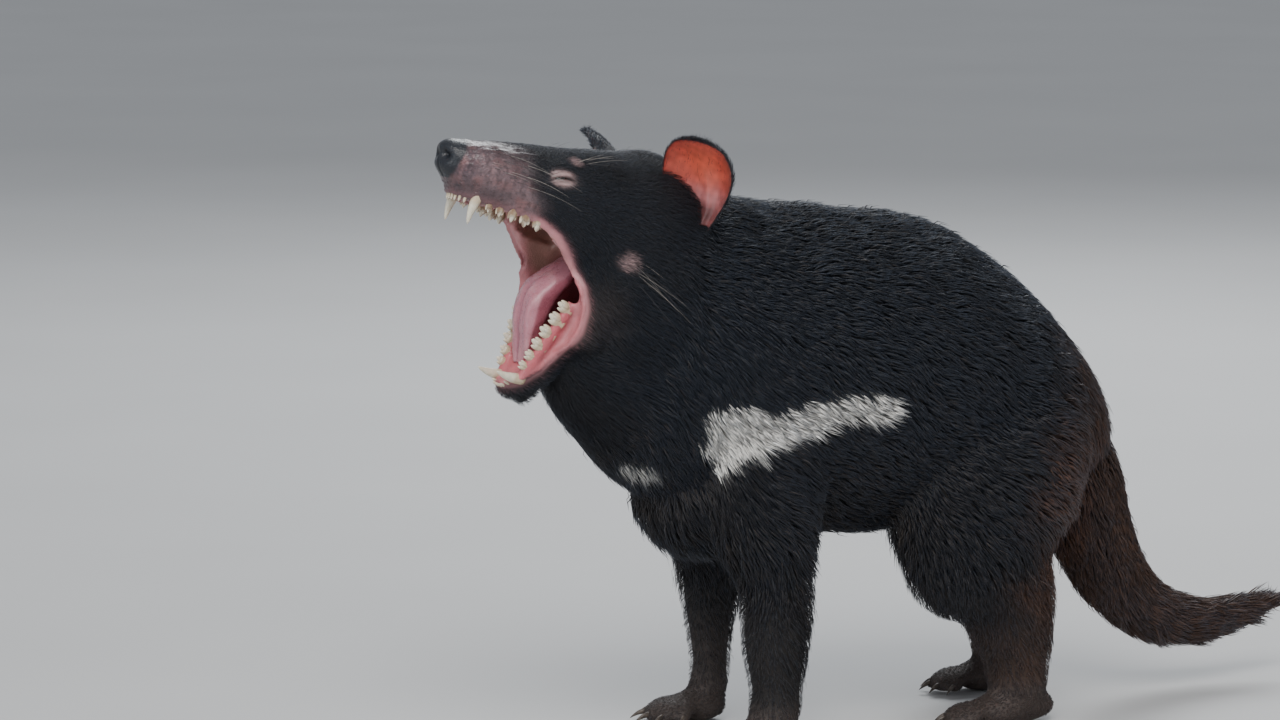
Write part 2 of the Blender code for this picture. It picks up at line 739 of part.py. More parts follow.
# Upper teeth. Columns: forward, half width of the row, length, half thickness, and forward lean
UPPER_TEETH = [
    (119.5, 1.6, 2.5, 1.4, 0.3), (119.0, 4.4, 2.5, 1.4, 0.3),
    (117.6, 7.0, 2.5, 1.4, 0.2), (115.4, 9.3, 2.5, 1.4, 0.0),
    (110.0, 13.0, 14.0, 3.1, 1.0),
    (101.0, 14.7, 5.0, 2.3, 0.0), (94.0, 16.0, 5.5, 2.6, 0.0), (86.0, 17.8, 6.0, 2.9, 0.0),
    (78.0, 19.7, 6.5, 3.2, 0.0), (70.0, 21.9, 6.5, 3.2, 0.0), (62.5, 23.8, 4.5, 2.6, 0.0),
]
# Lower teeth. Columns: along the jaw, half width, length, half thickness, and forward lean
LOWER_TEETH = [
    (99.0, 1.6, 4.0, 1.5, 0.5), (98.5, 4.4, 4.0, 1.5, 0.5), (96.8, 7.0, 4.0, 1.5, 0.3),
    (92.0, 10.6, 13.5, 3.0, 3.0),
    (84.0, 12.7, 5.0, 2.2, 0.0), (77.0, 14.3, 5.5, 2.5, 0.0), (69.0, 16.4, 6.0, 2.9, 0.0),
    (60.5, 18.8, 6.5, 3.1, 0.0), (51.5, 21.4, 6.5, 3.3, 0.0), (43.0, 23.6, 6.0, 3.0, 0.0),
]


def teeth(rows, place, rise):
    """Teeth on both sides of a jaw, each set well into the gum. Rise is the way that they point."""
    made = []
    for where, half, length, thick, lean in rows:
        for side in (1, -1):
            gumline = place(where, half, side)
            root = gumline - rise * (GUM_RADIUS * 0.6)
            along = (place(where + 1.0, half, side) - gumline).normalized()
            tip = gumline + rise * (GUM_RADIUS + length) + along * lean
            bowed = along * (0.8 * lean)
            tooth = spike("tooth", root, tip, thick, bowed)
            tooth.data.transform(HEAD)
            made.append(tooth)
    return made


UPPER_POINTS = Vector((0.0, 0.0, -1.0))
LOWER_POINTS = Vector((math.sin(GAPE), 0.0, math.cos(GAPE)))
body["head"] = grown_on(body["head"], teeth(UPPER_TEETH, upper_place, UPPER_POINTS))
body["lower_jaw"] = grown_on(body["lower_jaw"], teeth(LOWER_TEETH, lower_place, LOWER_POINTS))


CLAW_HALF = 0.0020
CLAW_BOW = 0.0016
CLAW_DROP = 0.0042
CLAW_ROOT_HEIGHT = 0.0062


def claws(centre, toes, reach, length):
    """A curved claw at the end of each toe of one foot."""
    made = []
    for angle, run in toes:
        ahead = (toe_root(centre, angle, 1.0) - centre).normalized()
        tip_of_toe = toe_root(centre, angle, reach + run)
        root = Vector((tip_of_toe.x, tip_of_toe.y, CLAW_ROOT_HEIGHT)) - ahead * 0.003
        tip = root + ahead * (0.005 + length) - Vector((0.0, 0.0, CLAW_DROP))
        made.append(spike("claw", root, tip, CLAW_HALF, Vector((0.0, 0.0, CLAW_BOW))))
    return made


for side, word in ((1, "left"), (-1, "right")):
    for kind, centre, toes, reach, length in (("fore", forepaw_centre(side), FORE_TOES, 0.014, 0.0075),
                                              ("hind", hindpaw_centre(side), HIND_TOES, 0.015, 0.0060)):
        name = f"{kind}paw_{word}"
        body[name] = grown_on(body[name], claws(centre, toes, reach, length))


def flat_sole(obj):
    """Cut the underside of a foot to a small flat, all four at the level of the floor."""
    bm = bmesh.new()
    bmesh.ops.create_cube(bm, size=0.2)
    middle = sum((v.co for v in obj.data.vertices), Vector()) / len(obj.data.vertices)
    bm.transform(Matrix.Translation((middle.x, middle.y, SOLE_LEVEL - 0.1)))
    boolean(obj, new_object("under", bm), "DIFFERENCE")
    return largest(obj)


for name in ("forepaw_left", "forepaw_right", "hindpaw_left", "hindpaw_right"):
    body[name] = flat_sole(body[name])


def copy_mesh(obj):
    bm = bmesh.new()
    bm.from_mesh(obj.data)
    return bm


def clear_of(obj, other, distance=GAP):
    """Trim a piece by its neighbour, a hair's breadth larger all round, so that they meet face to face."""
    wall = new_object("wall", copy_mesh(other))
    grow = wall.modifiers.new("grow", "DISPLACE")
    grow.strength = distance
    grow.mid_level = 0.0
    applied(wall)
    boolean(obj, wall, "DIFFERENCE")
    return largest(obj)


# Ear: a thin cup set on the side of the crown. Its frame is in millimetres: across the ear, up it, and
# out of its open side. The head rolls a little, which sets the left ear higher.
EAR_BASE = (-14.0, 48.5, 8.0)
EAR_ROLL = 2.5
EAR_RISE = (0.36, 0.26, 0.90)
EAR_FACING = (0.80, 0.60, 0.0)
# Columns: height, half width, depth of the cup, lean back (mm)
EAR_ROWS = [(-6.0, 13.0, 9.0, 0.0), (4.0, 17.0, 12.0, -1.0), (15.0, 21.0, 13.5, -2.0),
            (26.0, 22.5, 12.5, -2.0), (36.0, 20.5, 9.5, -0.5), (43.0, 15.5, 6.0, 1.0), (47.0, 8.5, 3.0, 2.5)]
EAR_THICK = 2.6


def ear_frame(side):
    rise = Vector((EAR_RISE[0], side * EAR_RISE[1], EAR_RISE[2])).normalized()
    facing = Vector((EAR_FACING[0], side * EAR_FACING[1], EAR_FACING[2]))
    facing = (facing - rise * facing.dot(rise)).normalized()
    across = rise.cross(facing)
    place = Matrix((across, rise, facing)).transposed().to_4x4()
    place.translation = Vector((EAR_BASE[0], side * EAR_BASE[1], EAR_BASE[2] + side * EAR_ROLL))
    return HEAD @ place


def ear(side, word):
    """The cup of the ear, its rim rounded at the top, with a wall of even thickness."""
    rows = smooth_rows(EAR_ROWS, 1)
    columns = 10
    bm = bmesh.new()
    grid = []
    for height, half, depth, lean in rows:
        line = []
        for k in range(columns + 1):
            t = 2.0 * k / columns - 1.0
            turn = t * math.pi * 0.5
            line.append(bm.verts.new((half * math.sin(turn), height, lean - depth * math.cos(turn))))
        grid.append(line)
    for low, high in zip(grid, grid[1:]):
        for k in range(columns):
            bm.faces.new((low[k], low[k + 1], high[k + 1], high[k]))
    bmesh.ops.recalc_face_normals(bm, faces=bm.faces)
    bm.transform(ear_frame(side))
    made = new_object(f"ear_{word}", bm)
    wall = made.modifiers.new("wall", "SOLIDIFY")
    wall.thickness = EAR_THICK * MM
    wall.offset = 0.0
    applied(made)
    return clear_of(clear_of(made, body["head"]), body["neck"])


for side, word in ((1, "left"), (-1, "right")):
    body[f"ear_{word}"] = ear(side, word)

# Eye: a ball low in its socket, seen through the slit of the nearly closed lids
EYE_PLACE = (68.0, 27.5, 6.0)
EYE_RADIUS = 6.0
LID_RADIUS = 7.6
EYE_SLIT = (5.4, 9.0, 1.3)
SOCKET_PLAY = 0.5


def eye(side, word):
    """Set the lids on the head, hollow the socket, open the slit and put the ball in."""
    centre = Vector((EYE_PLACE[0], side * EYE_PLACE[1], EYE_PLACE[2]))
    boolean(body["head"], ball("lids", centre, (LID_RADIUS * 1.15, LID_RADIUS, LID_RADIUS), HEAD), "UNION")
    socket = EYE_RADIUS + SOCKET_PLAY
    boolean(body["head"], ball("socket", centre, (socket,) * 3, HEAD), "DIFFERENCE")
    opening = ball("slit", centre + Vector((0.5, side * EYE_SLIT[1] * 0.6, 0.4)), EYE_SLIT, HEAD, 20, 10)
    boolean(body["head"], opening, "DIFFERENCE")
    body["head"] = largest(body["head"])
    return ball(f"eye_{word}", centre, (EYE_RADIUS,) * 3, HEAD, 12, 8)


for side, word in ((1, "left"), (-1, "right")):
    body[f"eye_{word}"] = eye(side, word)


# Tongue. Columns: along the jaw, height of its middle, half width, half thickness above, below
TONGUE = [(81.0, -10.5, 5.0, 2.0, 3.0), (75.0, -9.0, 8.5, 3.5, 5.0), (67.0, -6.0, 11.0, 4.5, 7.0),
          (59.0, -2.5, 12.5, 5.5, 9.0), (50.0, 0.5, 13.0, 6.0, 11.0), (42.0, 1.5, 13.5, 6.0, 12.0),
          (32.0, -2.0, 14.5, 6.0, 10.0), (20.0, -8.0, 15.0, 5.0, 7.0), (11.0, -12.0, 11.0, 3.0, 4.0)]
TONGUE_LEFT = -1.0


def tongue():
    stations = []
    for along, rise, half, above, below in TONGUE:
        forward, up = jaw_point(along, rise)
        stations.append((forward, TONGUE_LEFT, up, half, above, below))
    made = limb("tongue", stations, count=14, steps=2, squareness=0.85, matrix=HEAD)
    made = clear_of(made, body["lower_jaw"])
    return clear_of(made, body["head"])


body["tongue"] = tongue()


# Locks of the tail: rings of long hair lying back along it and past its end.
# Columns: share of the way along the tail, locks round it, length, half width (m)
LOCK_RINGS = [(0.47, 8, 0.044, 0.0085), (0.56, 8, 0.046, 0.0080), (0.66, 8, 0.048, 0.0075),
              (0.76, 7, 0.048, 0.0070), (0.86, 6, 0.045, 0.0065), (0.95, 5, 0.036, 0.0060)]
LOCK_SEED = 7
LOCK_SINK = 0.55
LOCK_STANDS = 0.0015
LOCK_CLOSES = 0.10


def tail_station(rows, share):
    """Centre, direction and half depth of the tail at a share of the way along it, also past its end."""
    last = len(rows) - 1
    i = min(int(share * last), last - 1)
    here = Vector(rows[i][:3])
    ahead = (Vector(rows[i + 1][:3]) - here).normalized()
    past = max(0.0, share - 1.0) * TAIL_LENGTH
    return here + ahead * past, ahead, rows[i][4]


def tail_locks():
    """Overlapping flat locks whose roots are sunk in the tail and whose tips stand a little proud."""
    rng = random.Random(LOCK_SEED)
    rows = smooth_rows(TAIL_PATH, 12)
    across = Vector((0.0, 1.0, 0.0))
    made = []
    for share, count, length, half in LOCK_RINGS:
        here, along, radius = tail_station(rows, share)
        upward = across.cross(along).normalized()
        turn = rng.uniform(0.0, math.tau)
        for k in range(count):
            angle = turn + math.tau * (k + rng.uniform(-0.2, 0.2)) / count
            out = across * math.cos(angle) + upward * math.sin(angle)
            end = share + length * rng.uniform(0.8, 1.15) / TAIL_LENGTH
            there, _, thick = tail_station(rows, end)
            past = max(0.0, end - 1.0) * TAIL_LENGTH
            tip = there + out * (thick + LOCK_STANDS - LOCK_CLOSES * past)
            made.append(lock(here + out * radius * LOCK_SINK, tip, out, half))
    return made


def lock(root, tip, out, half):
    """One flat lock, broadest a third of the way along and drawn out to a point."""
    along = (tip - root).normalized()
    broad = along.cross(out).normalized()
    face = broad.cross(along)
    rings = []
    for t, size in ((0.0, 0.75), (0.35, 1.0), (0.7, 0.62), (1.0, 0.10)):
        centre = root.lerp(tip, t) + face * (0.0035 * 4 * t * (1 - t))
        rings.append(oval(centre, broad, face, half * size, half * size * 0.38, half * size * 0.38, 4))
    bm = bmesh.new()
    ring_loft(bm, rings)
    return new_object("lock", bm)


body["tail"] = grown_on(body["tail"], tail_locks())

# Name: (colour, roughness) of each material
COLOURS = {
    "black_fur": ((0.012, 0.012, 0.014), 0.75),
    "brown_fur": ((0.045, 0.022, 0.014), 0.75),
    "nose_skin": ((0.030, 0.032, 0.040), 0.35),
    "mouth_skin": ((0.50, 0.18, 0.17), 0.40),
    "ear_skin": ((0.42, 0.13, 0.12), 0.55),
    "eye_glass": ((0.010, 0.008, 0.007), 0.05),
    "paw_skin": ((0.060, 0.045, 0.040), 0.65),
}


def finish(name):
    if name.startswith("ear"):
        return "ear_skin"
    if name.startswith("eye"):
        return "eye_glass"
    if "paw" in name:
        return "paw_skin"
    return {"nose": "nose_skin", "tongue": "mouth_skin", "tail": "brown_fur"}.get(name, "black_fur")


for name, obj in body.items():
    kind = finish(name)
    colour, roughness = COLOURS[kind]
    obj.name = name
    obj.data.name = name
    material = bpy.data.materials.new(f"{name}_{kind}")
    material.use_nodes = True
    shader = material.node_tree.nodes["Principled BSDF"]
    shader.inputs["Base Color"].default_value = (*colour, 1.0)
    shader.inputs["Roughness"].default_value = roughness
    shader.inputs["Metallic"].default_value = 0.0
    obj.data.materials.clear()
    obj.data.materials.append(material)
    obj.data.shade_smooth()
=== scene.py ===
import json
import math
import random

import bmesh
import bpy
import numpy as np
from mathutils import Matrix, Vector
from mathutils.bvhtree import BVHTree
from mathutils.kdtree import KDTree

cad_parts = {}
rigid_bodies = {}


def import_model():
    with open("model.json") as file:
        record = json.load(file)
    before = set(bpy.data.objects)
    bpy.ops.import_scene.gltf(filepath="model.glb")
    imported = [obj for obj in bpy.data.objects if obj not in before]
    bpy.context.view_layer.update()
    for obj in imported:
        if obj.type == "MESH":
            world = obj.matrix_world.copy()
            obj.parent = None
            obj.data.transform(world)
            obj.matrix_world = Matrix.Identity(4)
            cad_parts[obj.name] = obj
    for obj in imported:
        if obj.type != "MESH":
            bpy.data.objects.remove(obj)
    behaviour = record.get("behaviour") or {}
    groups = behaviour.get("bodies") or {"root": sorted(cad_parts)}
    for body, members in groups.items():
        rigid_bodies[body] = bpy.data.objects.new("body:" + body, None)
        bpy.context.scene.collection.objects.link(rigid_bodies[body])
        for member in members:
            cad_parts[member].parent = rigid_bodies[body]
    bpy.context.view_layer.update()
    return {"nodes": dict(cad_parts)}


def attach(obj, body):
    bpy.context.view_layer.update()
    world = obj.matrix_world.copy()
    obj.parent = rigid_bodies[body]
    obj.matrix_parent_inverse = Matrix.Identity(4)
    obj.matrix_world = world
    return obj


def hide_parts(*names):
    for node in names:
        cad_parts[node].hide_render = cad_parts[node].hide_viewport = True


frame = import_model()

# The hide of the animal: one skin from the nose to the end of the tail, stretched over the muscles.
# It stands on four short legs, and its mouth is open as wide as it goes. The coat grows out of it,
# so it lies inside the solids by the depth of the hair.
MM = 0.001
BACK_HEIGHT = 0.320
BELLY_HEIGHT = 0.119
BODY_HALF_WIDTH = 0.079
STANCE = 0.050
FORE_X = -0.113
FORE_LAG = 0.009
HIND_X = 0.050
HIND_STRIDE = 0.050
HEAD_ORIGIN = Vector((-0.190, -0.004, 0.325))
HEAD_PITCH = math.radians(20.0)
HEAD_TURN = math.radians(4.0)
JAW_HINGE = (34.0, -21.0)
GAPE = math.radians(78.0)


def head_frame():
    """The matrix to the world from (forward, left, up) in millimetres, with forward along the muzzle."""
    forward = Vector((-math.cos(HEAD_TURN) * math.cos(HEAD_PITCH),
                      -math.sin(HEAD_TURN) * math.cos(HEAD_PITCH),
                      math.sin(HEAD_PITCH)))
    left = Vector((math.sin(HEAD_TURN), -math.cos(HEAD_TURN), 0.0))
    turn = Matrix((forward, left, forward.cross(left))).transposed().to_4x4()
    return Matrix.Translation(HEAD_ORIGIN) @ turn @ Matrix.Diagonal((MM, MM, MM, 1.0))


HEAD = head_frame()
TO_HEAD = HEAD.inverted()


def jaw_point(along, rise):
    """(forward, up) in the head's frame of a place along the open lower jaw and above its tooth line."""
    forward = JAW_HINGE[0] + along * math.cos(GAPE) + rise * math.sin(GAPE)
    up = JAW_HINGE[1] - along * math.sin(GAPE) + rise * math.cos(GAPE)
    return forward, up


def smooth_rows(rows, steps):
    """Rows of numbers with steps-1 more rows between each two, on a Catmull-Rom curve."""
    out = []
    last = len(rows) - 1
    for i in range(last):
        p0 = rows[max(i - 1, 0)]
        p1 = rows[i]
        p2 = rows[i + 1]
        p3 = rows[min(i + 2, last)]
        for k in range(steps):
            t = k / steps
            out.append(tuple(
                0.5 * (2 * b + (c - a) * t + (2 * a - 5 * b + 4 * c - d) * t * t
                       + (3 * b - a - 3 * c + d) * t ** 3)
                for a, b, c, d in zip(p0, p1, p2, p3)))
    out.append(tuple(rows[last]))
    return out


def new_object(name, bm):
    mesh = bpy.data.meshes.new(name)
    bm.to_mesh(mesh)
    bm.free()
    obj = bpy.data.objects.new(name, mesh)
    bpy.context.scene.collection.objects.link(obj)
    return obj


def ring_loft(bm, rings):
    """Closed tube through rings of points, made by extruding a first ring along the rest."""
    first = [bm.verts.new(p) for p in rings[0]]
    start = bm.faces.new(first)
    made = [start]
    edges = list(start.edges)
    loop = first
    for ring in rings[1:]:
        grown = bmesh.ops.extrude_edge_only(bm, edges=edges)
        verts = [g for g in grown["geom"] if isinstance(g, bmesh.types.BMVert)]
        made += [g for g in grown["geom"] if isinstance(g, bmesh.types.BMFace)]
        after = {}
        for v in verts:
            for e in v.link_edges:
                other = e.other_vert(v)
                if other in loop:
                    after[other] = v
        loop = [after[v] for v in loop]
        for v, p in zip(loop, ring):
            v.co = p
        edges = [bm.edges.get((a, b)) for a, b in zip(loop, loop[1:] + loop[:1])]
    made.append(bm.faces.new(list(reversed(loop))))
    bmesh.ops.recalc_face_normals(bm, faces=made)


def oval(centre, side, upward, half_side, half_up, half_down, count, squareness=1.0):
    """Points round an egg-shaped ring. Squareness under 1 fills out its corners."""
    points = []
    for k in range(count):
        a = 2 * math.pi * k / count
        c = math.copysign(abs(math.cos(a)) ** squareness, math.cos(a))
        s = math.copysign(abs(math.sin(a)) ** squareness, math.sin(a))
        rise = half_up if s > 0 else half_down
        points.append(centre + side * (half_side * c) + upward * (rise * s))
    return points


def limb(name, stations, count=20, steps=4, squareness=1.0, reference=Vector((0, 1, 0)), matrix=None):
    """Loft along a bent path. Each station is x, y, z, half width along the reference side, and the
    half depths on its upper or front side and on its lower or back side."""
    rows = smooth_rows(stations, steps)
    centres = [Vector(r[:3]) for r in rows]
    rings = []
    for i, row in enumerate(rows):
        ahead = centres[min(i + 1, len(rows) - 1)]
        behind = centres[max(i - 1, 0)]
        tangent = (ahead - behind).normalized()
        side = (reference - tangent * reference.dot(tangent)).normalized()
        upward = side.cross(tangent)
        rings.append(oval(centres[i], side, upward, row[3], row[4], row[5], count, squareness))
    bm = bmesh.new()
    ring_loft(bm, rings)
    if matrix is not None:
        bm.transform(matrix)
    return new_object(name, bm)


# Torso and neck, one loft from the root of the tail to the back of the skull.
# Columns: x, y, z, half width, half depth above, half depth below
def body_core():
    mid = (BACK_HEIGHT + BELLY_HEIGHT) / 2
    deep = (BACK_HEIGHT - BELLY_HEIGHT) / 2
    wide = BODY_HALF_WIDTH
    return limb("core", [
        (0.136, 0.0, mid - 0.072, 0.014, 0.012, 0.012),
        (0.128, 0.0, mid - 0.061, 0.038, 0.032, 0.030),
        (0.108, 0.0, mid - 0.046, 0.056, 0.050, 0.048),
        (0.075, 0.0, mid - 0.028, 0.068, 0.068, 0.068),
        (0.037, 0.0, mid - 0.012, 0.076, 0.085, 0.088),
        (-0.005, 0.0, mid - 0.001, wide, deep - 0.001, deep),
        (-0.055, 0.0, mid + 0.004, wide, deep + 0.001, deep),
        (-0.100, 0.0, mid + 0.014, wide - 0.004, deep, deep - 0.006),
        (-0.135, 0.0, mid + 0.030, 0.068, deep - 0.008, deep - 0.016),
        (-0.165, -0.001, mid + 0.050, 0.062, deep - 0.018, deep - 0.026),
        (-0.188, -0.002, mid + 0.070, 0.060, deep - 0.031, deep - 0.034),
        (-0.208, -0.003, mid + 0.088, 0.052, 0.050, 0.052),
    ], count=28)


def mirrored(stations, side):
    """Stations drawn for the animal's left, moved to the given side: +1 left, -1 right."""
    return [(x, -side * y, z, w, b, f) for x, y, z, w, b, f in stations]


# Foreleg from the shoulder to the wrist. Columns as above, half depths are in front and behind.
def foreleg(side):
    x = FORE_X if side > 0 else FORE_X + FORE_LAG
    slim = 1.0 if side > 0 else 0.78
    return limb(f"foreleg_{side}", mirrored([
        (x + 0.020, STANCE - 0.018, 0.225, 0.022, 0.030, 0.030),
        (x + 0.008, STANCE - 0.013, 0.190, 0.033, 0.047, 0.038),
        (x + 0.004, STANCE - 0.009, 0.155, 0.034, 0.048, 0.033),
        (x + 0.004, STANCE - 0.005, 0.125, 0.031, 0.039, 0.027),
        (x + 0.004, STANCE - 0.001, 0.098, 0.024, 0.026, 0.023),
        (x + 0.003, STANCE, 0.062, 0.0200 * slim, 0.0225 * slim, 0.0210 * slim),
        (x + 0.003, STANCE, 0.036, 0.0170 * slim, 0.0175 * slim, 0.0170 * slim),
        (x + 0.001, STANCE, 0.018, 0.0160 * slim, 0.0150 * slim, 0.0150 * slim),
        (x - 0.002, STANCE, 0.008, 0.0120, 0.0120, 0.0120),
    ], side), count=18)


# Hind leg: a heavy thigh, a short shank and the heel close to the floor. The right leg is set back
# by its share of the stride, and more so lower down.
def hindleg(side):
    x = HIND_X
    back = 0.0 if side > 0 else HIND_STRIDE
    slim = 1.0 if side > 0 else 0.84
    return limb(f"hindleg_{side}", mirrored([
        (x + 0.030, STANCE - 0.016, 0.215, 0.026, 0.036, 0.034),
        (x + 0.018 + 0.3 * back, STANCE - 0.008, 0.182, 0.037, 0.060, 0.050 * slim),
        (x - 0.002 + 0.6 * back, STANCE - 0.004, 0.145, 0.038, 0.070 * slim, 0.058 * slim),
        (x - 0.004 + 0.8 * back, STANCE - 0.001, 0.110, 0.034 * slim, 0.066 * slim, 0.044 * slim),
        (x + 0.008 + 0.9 * back, STANCE, 0.080, 0.027 * slim, 0.042 * slim, 0.028),
        (x + 0.014 + 0.9 * back, STANCE, 0.050, 0.021 * slim, 0.031 * slim, 0.021),
        (x + 0.014 + back, STANCE, 0.026, 0.017, 0.022, 0.017),
        (x + 0.014 + back, STANCE, 0.008, 0.014, 0.016, 0.015),
    ], side), count=20)


# Columns: how far round from straight ahead in degrees, and length, of each toe
FORE_TOES = [(-44.0, 0.014), (-20.0, 0.019), (0.0, 0.021), (20.0, 0.019), (42.0, 0.015)]
HIND_TOES = [(-24.0, 0.017), (-8.0, 0.021), (8.0, 0.021), (24.0, 0.017)]
TOE_RADIUS = 0.0052


def toe_root(centre, angle, reach):
    turn = math.radians(angle)
    return centre + Vector((-math.cos(turn) * reach, math.sin(turn) * reach, 0.0))


def toe(name, centre, angle, length, reach):
    """One toe that runs forward and out from the sole and bends down to the floor."""
    root = toe_root(centre, angle, reach - 0.008)
    tip = toe_root(centre, angle, reach + length)
    middle = root.lerp(tip, 0.6)
    return limb(name, [
        (*root, TOE_RADIUS * 0.8, TOE_RADIUS, TOE_RADIUS),
        (middle.x, middle.y, root.z + 0.0015, TOE_RADIUS, TOE_RADIUS * 1.05, TOE_RADIUS),
        (tip.x, tip.y, TOE_RADIUS - 0.001, TOE_RADIUS * 0.95, TOE_RADIUS, TOE_RADIUS),
        (*toe_root(centre, angle, reach + length + 0.003).xy, 0.0035, 0.002, 0.002, 0.002),
    ], count=10, steps=2)


def forepaw_centre(side):
    x = FORE_X if side > 0 else FORE_X + FORE_LAG
    return Vector((x - 0.006, -side * STANCE, 0.009))


def hindpaw_centre(side):
    x = HIND_X if side > 0 else HIND_X + HIND_STRIDE
    return Vector((x - 0.002, -side * STANCE, 0.009))


def paw(kind, side):
    """Sole and toes of one foot. The hind foot also has a long heel."""
    flat = Matrix.Identity(4)
    if kind == "fore":
        centre, toes, reach = forepaw_centre(side), FORE_TOES, 0.014
        parts = [ball("sole", centre, (0.020, 0.0165, 0.0105), flat)]
    else:
        centre, toes, reach = hindpaw_centre(side), HIND_TOES, 0.015
        parts = [ball("sole", centre, (0.021, 0.0165, 0.0105), flat),
                 ball("heel", centre + Vector((0.018, 0.0, 0.001)), (0.024, 0.0125, 0.0110), flat)]
    for angle, length in toes:
        parts.append(toe("toe", centre, angle, length, reach))
    return parts


# Tail: fat at its root, hanging behind the hind legs and then trailing back just clear of the floor
TAIL_PATH = [
    (0.112, 0.000, 0.182, 0.030, 0.030, 0.032),
    (0.132, 0.000, 0.148, 0.031, 0.029, 0.031),
    (0.145, 0.001, 0.112, 0.029, 0.027, 0.030),
    (0.163, 0.002, 0.078, 0.025, 0.025, 0.027),
    (0.192, 0.004, 0.052, 0.021, 0.022, 0.023),
    (0.228, 0.006, 0.042, 0.017, 0.018, 0.018),
    (0.264, 0.008, 0.043, 0.0125, 0.0135, 0.0135),
    (0.292, 0.010, 0.048, 0.0075, 0.0080, 0.0080),
]


def tail_core():
    return limb("tail_core", TAIL_PATH, count=18)


# Upper head in its own frame, from the nose back. Columns: forward, left, up, half width, above, below
CRANIUM = [
    (137.5, 0.0, 2.0, 4.0, 4.0, 4.0),
    (134.5, 0.0, 2.0, 9.0, 7.0, 6.5),
    (129.5, 0.0, 0.0, 13.0, 11.0, 11.5),
    (124.5, 0.0, 0.0, 15.5, 12.0, 17.0),
    (117.5, 0.0, 0.0, 18.5, 13.0, 22.0),
    (105.0, 0.0, 0.0, 22.5, 16.0, 25.0),
    (90.0, 0.0, 0.0, 26.5, 19.5, 27.0),
    (75.0, 0.0, 0.0, 31.0, 23.0, 30.0),
    (60.0, 0.0, 0.0, 37.0, 26.5, 36.0),
    (45.0, 0.0, -2.0, 43.0, 34.0, 44.0),
    (30.0, 0.0, -5.0, 48.0, 41.5, 46.0),
    (15.0, 0.0, -8.0, 52.0, 48.5, 51.0),
    (0.0, 0.0, -9.0, 54.0, 52.0, 53.0),
    (-15.0, 0.0, -9.0, 53.0, 50.0, 53.0),
    (-30.0, 0.0, -12.0, 50.0, 44.0, 47.0),
    (-46.0, 0.0, -16.0, 40.0, 34.0, 30.0),
]

# Lower jaw, from the chin back to the hinge. Columns: along, rise, half width, above, below
MANDIBLE = [
    (104.5, -9.5, 4.0, 3.0, 4.0),
    (102.0, -10.0, 10.0, 8.0, 8.0),
    (94.0, -12.0, 14.5, 11.0, 11.5),
    (82.0, -14.0, 18.5, 12.0, 14.0),
    (68.0, -16.0, 25.0, 13.0, 17.0),
    (52.0, -19.0, 33.5, 15.0, 22.0),
    (36.0, -23.0, 42.5, 18.0, 28.0),
    (20.0, -26.0, 47.0, 22.0, 33.0),
    (4.0, -28.0, 49.0, 26.0, 36.0),
]

# Throat, from under the chin to the chest, in metres. Columns as for a limb
THROAT = [
    (-0.237, -0.003, 0.266, 0.022, 0.016, 0.016),
    (-0.220, -0.003, 0.254, 0.037, 0.039, 0.030),
    (-0.192, -0.002, 0.236, 0.049, 0.054, 0.040),
    (-0.158, 0.000, 0.218, 0.056, 0.066, 0.050),
    (-0.120, 0.000, 0.205, 0.060, 0.072, 0.060),
]

# Edge of the lips on either side, from the tip of the muzzle round the corner of the mouth to the chin
LIP_LINE = [
    (125.0, -21.0),
    (105.0, -20.5),
    (85.0, -19.5),
    (70.0, -21.5),
    (59.0, -26.5),
    (47.0, -37.0),
    (36.0, -50.0),
    (30.0, -63.0),
    (28.0, -77.0),
    (29.5, -92.0),
    (34.0, -105.0),
    (42.0, -114.0),
    (50.0, -119.0),
]

# Tooth rows. Upper: forward, half width. Lower: along, half width
UPPER_ARCADE = [(119.5, 0.0), (119.0, 3.5), (117.5, 6.5), (115.0, 9.5), (110.0, 12.6), (101.0, 14.5),
                (90.0, 16.5), (78.0, 19.5), (67.0, 22.5), (57.0, 25.0)]
LOWER_ARCADE = [(98.5, 0.0), (98.0, 3.8), (96.3, 7.2), (92.0, 10.6), (83.5, 12.8), (74.0, 15.0),
                (63.0, 18.0), (51.0, 21.5), (38.0, 24.5)]
UPPER_GUM_UP = -18.0
LOWER_GUM_RISE = -10.0
GUM_RADIUS = 3.8
LIP_RADIUS = 2.9


def cranium():
    return limb("cranium", CRANIUM, count=28, squareness=0.9, matrix=HEAD)


def mandible():
    stations = []
    for along, rise, half, above, below in MANDIBLE:
        forward, up = jaw_point(along, rise)
        stations.append((forward, 0.0, up, half, above, below))
    return limb("mandible", stations, count=24, squareness=0.9, matrix=HEAD)


def ball(name, centre, radii, matrix, segments=16, rings=10):
    """Ellipsoid with its centre and radii given in the frame of the matrix."""
    bm = bmesh.new()
    bmesh.ops.create_uvsphere(bm, u_segments=segments, v_segments=rings, radius=1.0)
    bm.transform(matrix @ Matrix.Translation(centre) @ Matrix.Diagonal((*radii, 1.0)))
    return new_object(name, bm)


def cheek(side):
    """The chewing muscle that swells behind the corner of the mouth."""
    return ball(f"cheek_{side}", (6.0, side * 34.0, -34.0), (27.0, 21.0, 34.0), HEAD)


def mouth_corner(side):
    """The folded skin stretched between the jaws."""
    return ball(f"corner_{side}", (24.0, side * 30.0, -60.0), (22.0, 10.5, 28.0), HEAD)


def brisket():
    """The front of the chest, hanging between the shoulders."""
    return ball("brisket", (-0.136, 0.0, 0.158), (0.044, 0.050, 0.046), Matrix.Identity(4))


def brow(side):
    """The ridge and closed lids over the eye."""
    return ball(f"brow_{side}", (68.0, side * 25.0, 9.5), (12.0, 9.0, 8.0), HEAD)


def nose():
    """The bare pad at the tip of the muzzle."""
    return ball("nose", (130.0, 0.0, 2.0), (8.5, 9.5, 9.0), HEAD)


